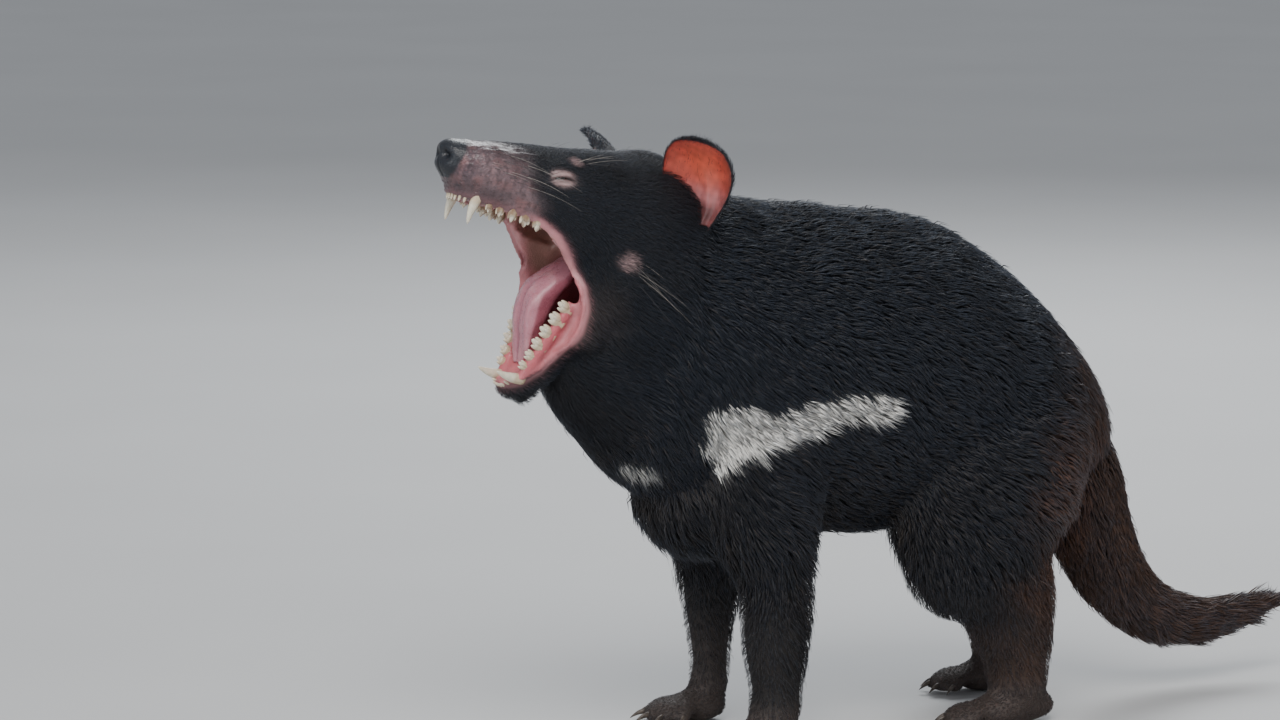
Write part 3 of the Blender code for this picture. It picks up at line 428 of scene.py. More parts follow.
def nostril_wing(side):
    return ball(f"nostril_wing_{side}", (131.0, side * 7.0, 0.5), (6.0, 5.0, 6.5), HEAD)


def mouth_opening():
    """Prism, as wide as the head, in front of the lips."""
    outline = smooth_rows(LIP_LINE, 4)
    outline = [(160.0, -20.5)] + outline + [(58.0, -124.0), (160.0, -150.0)]
    reach = 90.0
    bm = bmesh.new()
    near = [bm.verts.new((f, reach, u)) for f, u in outline]
    face = bm.faces.new(near)
    grown = bmesh.ops.extrude_face_region(bm, geom=[face])
    moved = [g for g in grown["geom"] if isinstance(g, bmesh.types.BMVert)]
    bmesh.ops.translate(bm, verts=moved, vec=(0.0, -2 * reach, 0.0))
    bmesh.ops.recalc_face_normals(bm, faces=bm.faces)
    bm.transform(HEAD)
    return new_object("mouth_opening", bm)


def palate_trough():
    """The hollow roof of the mouth, between the tooth rows."""
    rows = [(124.0, 3.0, 3.0), (116.0, 8.0, 7.0), (104.0, 12.0, 8.5), (90.0, 14.5, 9.5),
            (75.0, 18.0, 10.5), (60.0, 22.0, 12.0), (45.0, 26.0, 16.0), (30.0, 26.0, 18.0)]
    stations = [(f, 0.0, -22.0, half, above, 12.0) for f, half, above in rows]
    return limb("palate_trough", stations, count=16, matrix=HEAD)


def gullet():
    """The hollow behind the tongue that narrows into the throat."""
    stations = [(78.0, 0.0, -60.0, 22.0, 30.0, 30.0), (60.0, 0.0, -56.0, 27.0, 33.0, 36.0),
                (44.0, 0.0, -54.0, 29.0, 34.0, 34.0), (28.0, 0.0, -52.0, 28.0, 30.0, 27.0),
                (14.0, 0.0, -50.0, 22.0, 21.0, 18.0), (2.0, 0.0, -49.0, 13.0, 11.0, 10.0),
                (-4.0, 0.0, -49.0, 6.0, 4.0, 4.0)]
    return limb("gullet", stations, count=20, matrix=HEAD)


def tube(name, points, radius, matrix, sides=8):
    """Closed tube of one radius, or one radius a point, along a line of points."""
    radii = radius if isinstance(radius, list) else [radius] * len(points)
    rings = []
    for i, p in enumerate(points):
        tangent = (points[min(i + 1, len(points) - 1)] - points[max(i - 1, 0)]).normalized()
        across = tangent.orthogonal() if i == 0 else (across - tangent * across.dot(tangent))
        across.normalize()
        rings.append(oval(p, across, across.cross(tangent), radii[i], radii[i], radii[i], sides))
    bm = bmesh.new()
    ring_loft(bm, rings)
    bm.transform(matrix)
    return new_object(name, bm)


def upper_place(forward, half, side):
    return Vector((forward, side * half, UPPER_GUM_UP))


def lower_place(along, half, side):
    forward, up = jaw_point(along, LOWER_GUM_RISE)
    return Vector((forward, side * half, up))


def gum(name, arcade, place):
    """The ridge of gum that the teeth stand in, round both sides of a jaw."""
    rows = smooth_rows(arcade, 3)
    points = [place(a, h, 1) for a, h in reversed(rows)] + [place(a, h, -1) for a, h in rows[1:]]
    return tube(name, points, GUM_RADIUS, HEAD, sides=10)


# Lower jaw inside its lips, from the chin back. Columns: along, half width, rise
JAW_CORE = [
    (102.0, 5.0, -15.5), (98.0, 10.0, -16.5), (87.0, 15.0, -19.5), (72.0, 19.0, -21.5),
    (55.0, 24.0, -21.5), (38.0, 29.0, -21.0), (22.0, 31.0, -19.0), (8.0, 28.0, -19.0),
]


def jaw_core():
    """The lower jaw from gum to gum, with the floor of the mouth on top."""
    stations = []
    for along, half, rise in JAW_CORE:
        forward, up = jaw_point(along, rise)
        stations.append((forward, 0.0, up, half, 10.0, 10.0))
    return limb("jaw_core", stations, count=20, squareness=0.6, matrix=HEAD)


def lip(tree, side):
    """The soft rim of the mouth, along the cut edge of the skin."""
    points = []
    for forward, up in smooth_rows(LIP_LINE, 2):
        start = HEAD @ Vector((forward, side * 90.0, up))
        hit = tree.ray_cast(start, (HEAD @ Vector((forward, 0.0, up))) - start)[0]
        if hit is None:
            continue
        points.append(HEAD.inverted() @ hit - Vector((0.0, side * LIP_RADIUS * 0.9, 0.0)))
    return tube(f"lip_{side}", points, LIP_RADIUS, HEAD)


def surface_tree(obj):
    graph = bpy.context.evaluated_depsgraph_get()
    bm = bmesh.new()
    bm.from_mesh(obj.evaluated_get(graph).to_mesh())
    tree = BVHTree.FromBMesh(bm)
    bm.free()
    return tree


def join_objects(objects, name):
    bm = bmesh.new()
    for obj in objects:
        bm.from_mesh(obj.data)
        bpy.data.objects.remove(obj)
    return new_object(name, bm)


def applied(obj):
    """Swap the object's mesh for its evaluated one and clear the modifiers."""
    graph = bpy.context.evaluated_depsgraph_get()
    graph.update()
    mesh = bpy.data.meshes.new_from_object(obj.evaluated_get(graph))
    obj.modifiers.clear()
    obj.data = mesh
    return obj


def remeshed(obj, voxel, rounds, factor=0.5):
    obj.modifiers.new("fuse", "REMESH").mode = "VOXEL"
    obj.modifiers["fuse"].voxel_size = voxel
    if rounds:
        soften = obj.modifiers.new("soften", "SMOOTH")
        soften.iterations = rounds
        soften.factor = factor
    return applied(obj)


def boolean(obj, other, operation, solver="EXACT", keep=False):
    cut = obj.modifiers.new(operation.lower(), "BOOLEAN")
    cut.operation = operation
    cut.solver = solver
    if isinstance(other, bpy.types.Collection):
        cut.operand_type = "COLLECTION"
        cut.collection = other
    else:
        cut.object = other
    applied(obj)
    if isinstance(other, bpy.types.Collection):
        for piece in list(other.objects):
            bpy.data.objects.remove(piece)
        bpy.data.collections.remove(other)
    elif not keep:
        bpy.data.objects.remove(other)
    return obj


def whole_hide():
    """Every part of the body that skin covers, fused into one closed surface, and the shape it had
    before the mouth was opened."""
    pieces = [body_core(), cranium(), mandible(), limb("throat", THROAT, count=22)]
    pieces += [brisket(), tail_core(), nose()]
    for side in (1, -1):
        pieces += [foreleg(side), hindleg(side), cheek(side)]
        pieces += [mouth_corner(side), brow(side), nostril_wing(side)]
        pieces += paw("fore", side) + paw("hind", side)
    whole = remeshed(join_objects(pieces, "hide"), 0.0026, 12)
    outside = surface_tree(whole)
    boolean(whole, mouth_opening(), "DIFFERENCE")
    boolean(whole, jaw_core(), "UNION")
    boolean(whole, palate_trough(), "DIFFERENCE")
    boolean(whole, gullet(), "DIFFERENCE")
    rims = [gum("upper_gum", UPPER_ARCADE, upper_place), gum("lower_gum", LOWER_ARCADE, lower_place),
            lip(outside, 1), lip(outside, -1)]
    return remeshed(join_objects([whole] + rims, "hide"), 0.0015, 10), outside


def rows_of(mesh):
    """Places and normals of a mesh's points, as rows."""
    places = np.empty(len(mesh.vertices) * 3, np.float32)
    normals = np.empty(len(mesh.vertices) * 3, np.float32)
    mesh.vertices.foreach_get("co", places)
    mesh.vertices.foreach_get("normal", normals)
    return places.reshape(-1, 3).astype(float), normals.reshape(-1, 3).astype(float)


def headward(places):
    """Places in the head's own frame: (forward, left, up) in millimetres."""
    turn = np.array(TO_HEAD)
    return places @ turn[:3, :3].T + turn[:3, 3]


def ease(value, low, high):
    """0 below low and 1 above high, with a smooth rise between."""
    t = np.clip((value - low) / (high - low), 0.0, 1.0)
    return t * t * (3.0 - 2.0 * t)


def to_line(places, line):
    """Distance of each flat place from a line of points."""
    best = np.full(len(places), 1e9)
    for a, b in zip(np.array(line[:-1]), np.array(line[1:])):
        t = np.clip(((places - a) @ (b - a)) / ((b - a) @ (b - a)), 0.0, 1.0)
        best = np.minimum(best, np.linalg.norm(places - a - t[:, None] * (b - a), axis=1))
    return best


def within(flat, outline):
    """Distance of flat places inside an outline, negative outside it."""
    ring = list(outline) + [outline[0]]
    crossed = np.zeros(len(flat), bool)
    for (x0, z0), (x1, z1) in zip(ring[:-1], ring[1:]):
        straddles = (flat[:, 1] < z0) != (flat[:, 1] < z1)
        level = x0 + (flat[:, 1] - z0) * (x1 - x0) / ((z1 - z0) or 1e-9)
        crossed ^= straddles & (flat[:, 0] < level)
    return np.where(crossed, 1.0, -1.0) * to_line(flat, ring)


def ripple(places, scale, seed):
    """A smooth field between about -1 and 1, with waves of the given length in metres."""
    rng = np.random.default_rng(seed)
    total = np.zeros(len(places))
    for _ in range(6):
        wave = rng.normal(size=3)
        wave *= math.tau / scale / np.linalg.norm(wave) * rng.uniform(0.6, 1.5)
        total += np.sin(places @ wave + rng.uniform(0.0, math.tau))
    return total / 3.0


def near(spots, centre, radii):
    """1 at a place in the head's frame, falling to 0 at its radii."""
    return np.clip(1.0 - np.linalg.norm((spots - np.array(centre)) / np.array(radii), axis=1), 0.0, 1.0)


def inside_mouth(places, outside):
    """1 for points that lie under the outer surface of the closed head, as the lining of the mouth does."""
    spots = headward(places)
    deep = np.zeros(len(places))
    for i in np.flatnonzero((spots[:, 0] > -12.0) & (places[:, 2] > 0.18)):
        hit, facing = outside.find_nearest(Vector(places[i]))[:2]
        deep[i] = (hit - Vector(places[i])).dot(facing) * 1000.0
    opening = LIP_LINE + [(58.0, -130.0), (160.0, -150.0), (160.0, -21.0)]
    before = within(spots[:, [0, 2]], opening)
    return np.maximum(ease(deep, 1.6, 3.6), ease(before, 1.0, 2.6))


def coat_depth(places, spots):
    """How far the skin lies under the tips of the coat, in metres."""
    depth = 0.0050 + 0.0015 * ease(places[:, 2], 0.16, 0.11)
    depth = depth * (1.0 - 0.55 * ease(places[:, 2], 0.105, 0.070) * (places[:, 0] < 0.125))
    foot = ease(places[:, 2], 0.040, 0.022) * (places[:, 0] < 0.125)
    depth = depth * (1.0 - foot) + 0.0005 * foot
    head = ease(spots[:, 0], -35.0, 10.0)
    face = ease(spots[:, 0], 20.0, 95.0)
    depth = depth * (1.0 - head) + head * (0.0024 - 0.0022 * face)
    return depth


EYE_PLACE = (68.0, 28.5, 6.5)


def worn(places, spots, lined):
    """How far each point stands out for the small folds of the skin, in metres: lids, nostrils, wrinkles
    of the muzzle and ridges of the palate."""
    out = np.zeros(len(places))
    bare = 1.0 - lined
    for side in (1, -1):
        x = spots[:, 0] - EYE_PLACE[0]
        z = spots[:, 2] - EYE_PLACE[2]
        on_side = ease(spots[:, 1] * side, 14.0, 20.0)
        arch = z + 0.22 * x + 0.035 * x * x - 0.6
        reach = np.exp(-(x / 7.5) ** 4)
        out += 0.0020 * on_side * np.exp(-(x / 8.0) ** 2 - (z / 5.0) ** 2)
        out -= 0.0021 * on_side * reach * np.exp(-(arch / 0.75) ** 2)
        for offset, deep in ((3.2, 0.0009), (5.6, 0.0007), (-3.0, 0.0008), (-5.0, 0.0005)):
            out -= deep * on_side * np.exp(-(x / 9.0) ** 4) * np.exp(-((arch - offset) / 0.7) ** 2)
        # nostril: a comma that opens forward and curls out and back
        hole = np.array([(136.5, 4.6, -0.5), (133.5, 7.4, -1.0), (129.5, 9.2, -3.0), (126.0, 9.9, -3.4)])
        hole[:, 1] *= side
        for centre, radius, deep in zip(hole, (3.4, 3.0, 2.2, 1.7), (0.0040, 0.0034, 0.0018, 0.0010)):
            away = np.linalg.norm(spots - centre, axis=1)
            out -= deep * np.exp(-(away / radius) ** 2)
    groove = ease(spots[:, 0], 126.0, 131.0) * ease(-spots[:, 2], -4.0, 6.0)
    groove *= np.exp(-(spots[:, 1] / 0.8) ** 2)
    out -= 0.0008 * groove
    muzzle = ease(spots[:, 0], 72.0, 88.0) * (1.0 - ease(spots[:, 0], 121.0, 127.0)) * bare
    slant = spots[:, 2] + 0.35 * spots[:, 0]
    out += 0.00022 * muzzle * np.sin(slant * 2.1 + 1.5 * ripple(places, 0.014, 3))
    out += 0.00030 * muzzle * ripple(places, 0.006, 4)
    roof = lined * ease(spots[:, 2], -34.0, -20.0) * ease(spots[:, 0], 34.0, 44.0)
    out += 0.0007 * roof * np.sin(spots[:, 0] * 1.05 + 0.02 * spots[:, 1] ** 2)
    out += 0.0004 * lined * ripple(places, 0.016, 5)
    return out


def refined(obj, chosen, cuts):
    """Cut the faces round the chosen places finer."""
    bm = bmesh.new()
    bm.from_mesh(obj.data)
    edges = [e for e in bm.edges if chosen((e.verts[0].co + e.verts[1].co) / 2)]
    bmesh.ops.subdivide_edges(bm, edges=edges, cuts=cuts, use_grid_fill=True)
    bmesh.ops.triangulate(bm, faces=bm.faces)
    bm.to_mesh(obj.data)
    bm.free()


def fine_place(place):
    spot = TO_HEAD @ place
    eye = min((spot - Vector((EYE_PLACE[0], side * EYE_PLACE[1], EYE_PLACE[2]))).length for side in (1, -1))
    return eye < 13.0 or spot.x > 121.0


hide, outside_tree = whole_hide()
places, normals = rows_of(hide.data)
spots = headward(places)
toward = 1.0 - ease(spots[:, 0], -22.0, -8.0)
toward = np.where(places[:, 2] < 0.034, 0.0, toward)
coarse = hide.vertex_groups.new(name="coarse")
for level in range(11):
    some = np.flatnonzero(np.round(toward * 10.0) == level).tolist()
    if some and level:
        coarse.add(some, level / 10.0, "REPLACE")
thin = hide.modifiers.new("thin", "DECIMATE")
thin.ratio = 0.32
thin.vertex_group = "coarse"
thin.use_collapse_triangulate = True
applied(hide)
refined(hide, fine_place, 1)
places, normals = rows_of(hide.data)
spots = headward(places)
lined = inside_mouth(places, outside_tree)
depth = coat_depth(places, spots) * (1.0 - lined)
places = places - normals * depth[:, None] + normals * worn(places, spots, lined)[:, None]
hide.data.vertices.foreach_set("co", places.astype(np.float32).ravel())
hide.data.update()

# Its colours: black with brown hindquarters and tail, a white band across the shoulder, a bare grey and
# pink muzzle and a pink mouth. Skin and hair take them from the same rule, by place on the body.
BLACK = np.array([0.0085, 0.0090, 0.0115])
WARM_BLACK = np.array([0.014, 0.011, 0.010])
BROWN = np.array([0.060, 0.030, 0.018])
RUSTY = np.array([0.105, 0.047, 0.026])
GREY_BROWN = np.array([0.062, 0.046, 0.040])
MAUVE = np.array([0.165, 0.108, 0.118])
LID = np.array([0.36, 0.24, 0.235])
NOSE = np.array([0.012, 0.014, 0.020])
LIP = np.array([0.56, 0.235, 0.255])
MOUTH = np.array([0.50, 0.115, 0.135])
THROAT_RED_AND_SHADE = np.array([0.20, 0.035, 0.045])
PALATE = np.array([0.34, 0.185, 0.150])
WHITE = np.array([0.70, 0.68, 0.64])
BAND = [(-0.152, 0.2215), (-0.118, 0.2165), (-0.088, 0.2190), (-0.055, 0.2205), (-0.040, 0.2130),
        (-0.048, 0.2030), (-0.072, 0.2010), (-0.098, 0.1960), (-0.125, 0.1870), (-0.141, 0.1880),
        (-0.150, 0.1730), (-0.158, 0.1850), (-0.166, 0.1990), (-0.166, 0.2120)]


def mixed(base, colour, share):
    return base * (1.0 - share[:, None]) + np.asarray(colour) * share[:, None]


def bare_skin(places, spots):
    """How bare the skin is: 1 on the muzzle, lids and nose, 0 under the coat."""
    up = spots[:, 2]
    ahead = spots[:, 0] - 0.45 * (up - 2.0) + 3.0 * ripple(places, 0.02, 11)
    muzzle = ease(ahead, 76.0, 92.0) * ease(up, -40.0, -22.0)
    top = ease(up, 12.0, 20.0) * (1.0 - ease(spots[:, 0], 104.0, 116.0))
    bare = muzzle * (1.0 - 0.8 * top)
    for side in (1, -1):
        eye = (EYE_PLACE[0] - 0.5, side * EYE_PLACE[1], EYE_PLACE[2])
        bare = np.maximum(bare, ease(near(spots, eye, (14.0, 12.0, 9.0)), 0.15, 0.5))
    return np.maximum(bare, ease(spots[:, 0], 118.0, 123.0) * (up > -30.0))


def tone(places, spots, lined):
    """Colour of skin and hair at each place, and how bare it is."""
    x, y, z = places.T
    ahead, left, up = spots.T
    wild = ripple(places, 0.030, 21)
    finer = ripple(places, 0.009, 22)
    specks = ripple(places, 0.0032, 23)
    colour = np.tile(BLACK, (len(places), 1))
    colour = mixed(colour, WARM_BLACK, ease(z + 0.02 * wild, 0.26, 0.12))
    rear = ease(x + 0.35 * (0.20 - z) + 0.010 * wild, 0.055, 0.125)
    colour = mixed(colour, BROWN, 0.85 * rear)
    thigh = ease(x + 0.008 * wild, 0.040, 0.080) * (x < 0.13)
    thigh = thigh * ease(z, 0.050, 0.090) * ease(0.205 - z, 0.0, 0.04)
    colour = mixed(colour, RUSTY, 0.55 * thigh)
    tail = ease(x, 0.125, 0.160) * ease(0.17 - z, 0.0, 0.05)
    colour = mixed(colour, BROWN * 0.9 + 0.012 * finer[:, None] * np.array([1.0, 0.5, 0.3]), tail)
    foot = ease(0.034 - z, 0.0, 0.014) * (x < 0.14)
    colour = mixed(colour, GREY_BROWN, foot * 0.9)
    far_leg = ease(0.080 - z, 0.0, 0.030) * (y > 0.0) * (x < 0.0)
    colour = mixed(colour, GREY_BROWN * 0.8, far_leg * 0.6)
    # the band, on the left shoulder, with a thin streak on the front of the chest
    flat = np.stack([x + 0.0015 * finer, z + 0.003 * wild], axis=1)
    inside = within(flat, BAND) * 1000.0
    band = ease(inside + 1.2 * finer, -1.0, 1.6) * (y < -0.012) * (ahead < 0.0)
    streak = ease(near(places * 1000.0, (-193.0, -22.0, 181.0), (20.0, 16.0, 7.0)), 0.1, 0.5)
    colour = mixed(colour, WHITE, np.maximum(band, 0.75 * streak))
    # head
    face = ease(ahead, 10.0, 70.0)
    colour = mixed(colour, BLACK * 1.25, face)
    grey = ease(near(spots, (25.0, 45.0, -70.0), (26.0, 30.0, 34.0)), 0.0, 0.8)
    colour = mixed(colour, GREY_BROWN * 1.3, grey * 0.6)
    for side in (1, -1):
        # the pale speckled patch on each cheek, round its whisker tuft, is partly pale skin and partly
        # painted highlight where light glints on the cheek; the patch over each eye is pale skin
        cheek = near(spots, (20.0, side * 56.0, -28.0), (8.0, 20.0, 9.0))
        cheek = ease(cheek * (1.0 + 0.5 * specks), 0.03, 0.5)
        over = near(spots, (61.0, side * 29.0, 19.5), (5.5, 12.0, 4.2))
        over = ease(over * (1.0 + 0.4 * specks), 0.02, 0.5)
        colour = mixed(colour, LID * 1.15, np.maximum(0.8 * cheek, 0.8 * over))
    bare = bare_skin(places, spots)
    skin = np.tile(MAUVE, (len(places), 1))
    skin = mixed(skin, MAUVE * np.array([0.42, 0.42, 0.50]), ease(ahead, 112.0, 124.0) * 0.7)
    skin = mixed(skin, MAUVE * np.array([1.35, 1.0, 0.92]), ease(finer, -0.1, 0.9) * 0.7)
    # painted highlight: pale specks on the top of the muzzle stand for light catching the bridge of the nose
    painted_highlight_specks = ease(specks, 0.45, 0.95) * ease(up, -14.0, -2.0)
    skin = mixed(skin, MAUVE * np.array([2.1, 1.9, 1.8]), painted_highlight_specks * 0.55)
    skin = mixed(skin, MAUVE * 0.30, ease(-specks, 0.10, 0.75) * 0.55)
    skin = mixed(skin, MAUVE * 0.26, ease(-up, 6.0, 19.0) * ease(ahead, 84.0, 104.0) * 0.6)
    skin = mixed(skin, MAUVE * np.array([0.45, 0.42, 0.45]), ease(wild + 0.05 * (up + 10.0), -0.2, 1.4) * 0.7)
    skin = mixed(skin, MAUVE * 0.30, ease(up, 4.0, 14.0) * 0.75)
    for side in (1, -1):
        around = near(spots, (EYE_PLACE[0], side * EYE_PLACE[1], EYE_PLACE[2]), (17.0, 14.0, 9.5))
        around = ease(around, 0.15, 0.5)
        skin = mixed(skin, LID * 0.55, around)
        beyond = ahead - EYE_PLACE[0]
        sloped = up - EYE_PLACE[2] + 0.22 * beyond
        crest = np.exp(-((np.abs(sloped - 0.4) - 3.1) / 1.3) ** 2) * np.exp(-(beyond / 9.5) ** 4)
        skin = mixed(skin, LID * 1.25, crest * around * 0.9)
        slit = sloped + 0.035 * beyond ** 2 - 0.6
        dark = np.exp(-(slit / 0.9) ** 2) * np.exp(-(beyond / 7.5) ** 4) * (left * side > 14.0)
        skin = mixed(skin, (0.015, 0.009, 0.009), dark)
    pad = ease(ahead - 0.35 * np.abs(left) + 0.25 * np.minimum(up, 4.0), 121.0, 123.5) * (up > -13.0)
    skin = mixed(skin, NOSE, pad)
    colour = mixed(colour, skin, bare)
    # lips and the lining of the mouth
    rim = to_line(np.stack([ahead, up], axis=1), LIP_LINE)
    rosy = ease(-ahead, -84.0, -66.0)
    edge = np.exp(-(rim / 2.6) ** 2) * (0.18 + 0.82 * rosy)
    edge = edge * (0.35 + 0.65 * ease(up, -112.0, -84.0)) * (ahead > 20.0)
    colour = mixed(colour, LIP, edge * 0.9)
    lining = np.tile(MOUTH, (len(places), 1))
    lining = mixed(lining, PALATE, ease(up, -62.0, -40.0))
    lining = mixed(lining, MOUTH * np.array([1.05, 0.8, 0.8]), ease(26.0 - np.abs(left), -1.0, -6.0))
    # deeper red toward the back of the mouth, partly painted shade in the hollow of the throat
    lining = mixed(lining, THROAT_RED_AND_SHADE, ease(-ahead, -34.0, -14.0) * (np.abs(left) < 24.0))
    lining = mixed(lining, LIP, np.exp(-(rim / 4.0) ** 2) * 0.7)
    lining = lining * (1.0 + 0.12 * finer[:, None])
    colour = mixed(colour, np.clip(lining, 0.0, 1.0), lined)
    return colour, np.maximum(bare, np.maximum(lined, edge))


def paint(mesh, colour, share):
    """Store colours on a mesh's points, with how bare the skin is as their alpha."""
    attribute = mesh.color_attributes.new("Tone", "FLOAT_COLOR", "POINT")
    attribute.data.foreach_set("color", np.column_stack([colour, share]).astype(np.float32).ravel())


places, normals = rows_of(hide.data)
spots = headward(places)
colour, bare = tone(places, spots, lined)
paint(hide.data, np.clip(colour, 0.0, 1.0), bare)

# Skin material: pigmented leather with fine creases, glossy and wet in the mouth and on the nose.
def shader_nodes(name):
    material = bpy.data.materials.new(name)
    material.use_nodes = True
    return material, material.node_tree.nodes, material.node_tree.links


def node(nodes, kind, **inputs):
    made = nodes.new(kind)
    for key, value in inputs.items():
        made.inputs[key.replace("_", " ")].default_value = value
    return made


toned_cloud = bpy.data.node_groups.new("toned_cloud", "ShaderNodeTree")
for socket, way in (("Scale", "INPUT"), ("Detail", "INPUT"), ("Darkest", "INPUT"), ("Lightest", "INPUT"),
                    ("Cloud", "OUTPUT"), ("Bareness", "OUTPUT")):
    toned_cloud.interface.new_socket(name=socket, in_out=way, socket_type="NodeSocketFloat")
toned_cloud.interface.new_socket(name="Color", in_out="OUTPUT", socket_type="NodeSocketColor")
nodes, links = toned_cloud.nodes, toned_cloud.links
given = nodes.new("NodeGroupInput")
result = nodes.new("NodeGroupOutput")
where = nodes.new("ShaderNodeTexCoord")
tint = nodes.new("ShaderNodeVertexColor")
tint.layer_name = "Tone"
cloud = nodes.new("ShaderNodeTexNoise")
shade = nodes.new("ShaderNodeMapRange")
tinted = nodes.new("ShaderNodeVectorMath")
tinted.operation = "SCALE"
for start, end in (
    (where.outputs["Object"], cloud.inputs["Vector"]),
    (given.outputs["Scale"], cloud.inputs["Scale"]),
    (given.outputs["Detail"], cloud.inputs["Detail"]),
    (cloud.outputs["Fac"], shade.inputs["Value"]),
    (given.outputs["Darkest"], shade.inputs["To Min"]),
    (given.outputs["Lightest"], shade.inputs["To Max"]),
    (tint.outputs["Color"], tinted.inputs[0]),
    (shade.outputs["Result"], tinted.inputs["Scale"]),
    (tinted.outputs["Vector"], result.inputs["Color"]),
    (cloud.outputs["Fac"], result.inputs["Cloud"]),
    (tint.outputs["Alpha"], result.inputs["Bareness"]),
):
    links.new(start, end)


def toned(nodes, links, **cloud):
    """Give a material the piece's own Tone, clouded, as its colour."""
    made = nodes.new("ShaderNodeGroup")
    made.node_tree = toned_cloud
    for key, value in cloud.items():
        made.inputs[key].default_value = value
    links.new(made.outputs["Color"], nodes["Principled BSDF"].inputs["Base Color"])
    return made


def roughened(nodes, links, source, at_none, at_full):
    """Grade a material's roughness between two values by a mask."""
    grade = node(nodes, "ShaderNodeMapRange", To_Min=at_none, To_Max=at_full)
    links.new(source, grade.inputs["Value"])
    links.new(grade.outputs["Result"], nodes["Principled BSDF"].inputs["Roughness"])


def fleshy(shader, weight, radius, scale):
    """Let light some way into a material."""
    shader.inputs["Subsurface Weight"].default_value = weight
    shader.inputs["Subsurface Radius"].default_value = radius
    shader.inputs["Subsurface Scale"].default_value = scale


skin, nodes, links = shader_nodes("skin")
shader = nodes["Principled BSDF"]
where = nodes.new("ShaderNodeTexCoord")
tint = toned(nodes, links, Scale=160.0, Detail=5.0, Darkest=0.72, Lightest=1.28)
creases = node(nodes, "ShaderNodeTexVoronoi", Scale=900.0)
pores = node(nodes, "ShaderNodeTexNoise", Scale=1400.0, Detail=4.0)
for made in (creases, pores):
    links.new(where.outputs["Object"], made.inputs["Vector"])
roughened(nodes, links, tint.outputs["Bareness"], 0.72, 0.36)
small = node(nodes, "ShaderNodeBump", Strength=0.35, Distance=0.0004)
large = node(nodes, "ShaderNodeBump", Strength=0.30, Distance=0.0006)
links.new(pores.outputs["Fac"], small.inputs["Height"])
links.new(creases.outputs["Distance"], large.inputs["Height"])
links.new(small.outputs["Normal"], large.inputs["Normal"])
links.new(large.outputs["Normal"], shader.inputs["Normal"])
fleshy(shader, 0.12, (1.0, 0.35, 0.25), 0.003)
hide.data.materials.append(skin)

SKINNED = ["head", "lower_jaw", "nose", "neck", "torso", "tail", "foreleg_left", "foreleg_right",
           "hindleg_left", "hindleg_right", "forepaw_left", "forepaw_right", "hindpaw_left", "hindpaw_right"]
hide.name = "skin"
hide.data.name = "skin"
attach(hide, "root")
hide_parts(*SKINNED)
hide.data.shade_smooth()

# The coat: short glossy guard hairs that lie back along the body, in thin overlapping tufts. They are
# finest on the face and feet, longest on the throat, rump and tail, and grow out of the skin.
bpy.context.view_layer.objects.active = hide
hide.select_set(True)
bpy.ops.object.mode_set(mode="EDIT")
bpy.ops.mesh.select_all(action="SELECT")
bpy.ops.uv.smart_project(angle_limit=math.radians(66.0), island_margin=0.0)
bpy.ops.object.mode_set(mode="OBJECT")
hide.select_set(False)
mesh = hide.data
corners = np.empty(len(mesh.loops), np.int32)
mesh.loops.foreach_get("vertex_index", corners)
corners = corners.reshape(-1, 3)
unwrap = np.empty(len(mesh.loops) * 2, np.float32)
mesh.uv_layers.active.data.foreach_get("uv", unwrap)
unwrap = unwrap.reshape(-1, 3, 2)
mesh.uv_layers.active.name = "unwrap"

PATCH_HALF = 0.0015
TAIL_LINE = np.array(TAIL_PATH)[:, :3]
TAIL_LINE = np.vstack([TAIL_LINE, [0.318, 0.011, 0.050]])


def along_line(places, line):
    """For each place, the direction of the nearest stretch of a line, and how far along the line it is."""
    best = np.full(len(places), 1e9)
    direction = np.zeros_like(places)
    share = np.zeros(len(places))
    for i, (a, b) in enumerate(zip(line[:-1], line[1:])):
        t = np.clip(((places - a) @ (b - a)) / ((b - a) @ (b - a)), 0.0, 1.0)
        away = np.linalg.norm(places - a - t[:, None] * (b - a), axis=1)
        closer = away < best
        best = np.where(closer, away, best)
        direction[closer] = (b - a) / np.linalg.norm(b - a)
        share = np.where(closer, (i + t) / (len(line) - 1), share)
    return direction, share


def unit(rows):
    return rows / np.maximum(np.linalg.norm(rows, axis=1), 1e-9)[:, None]


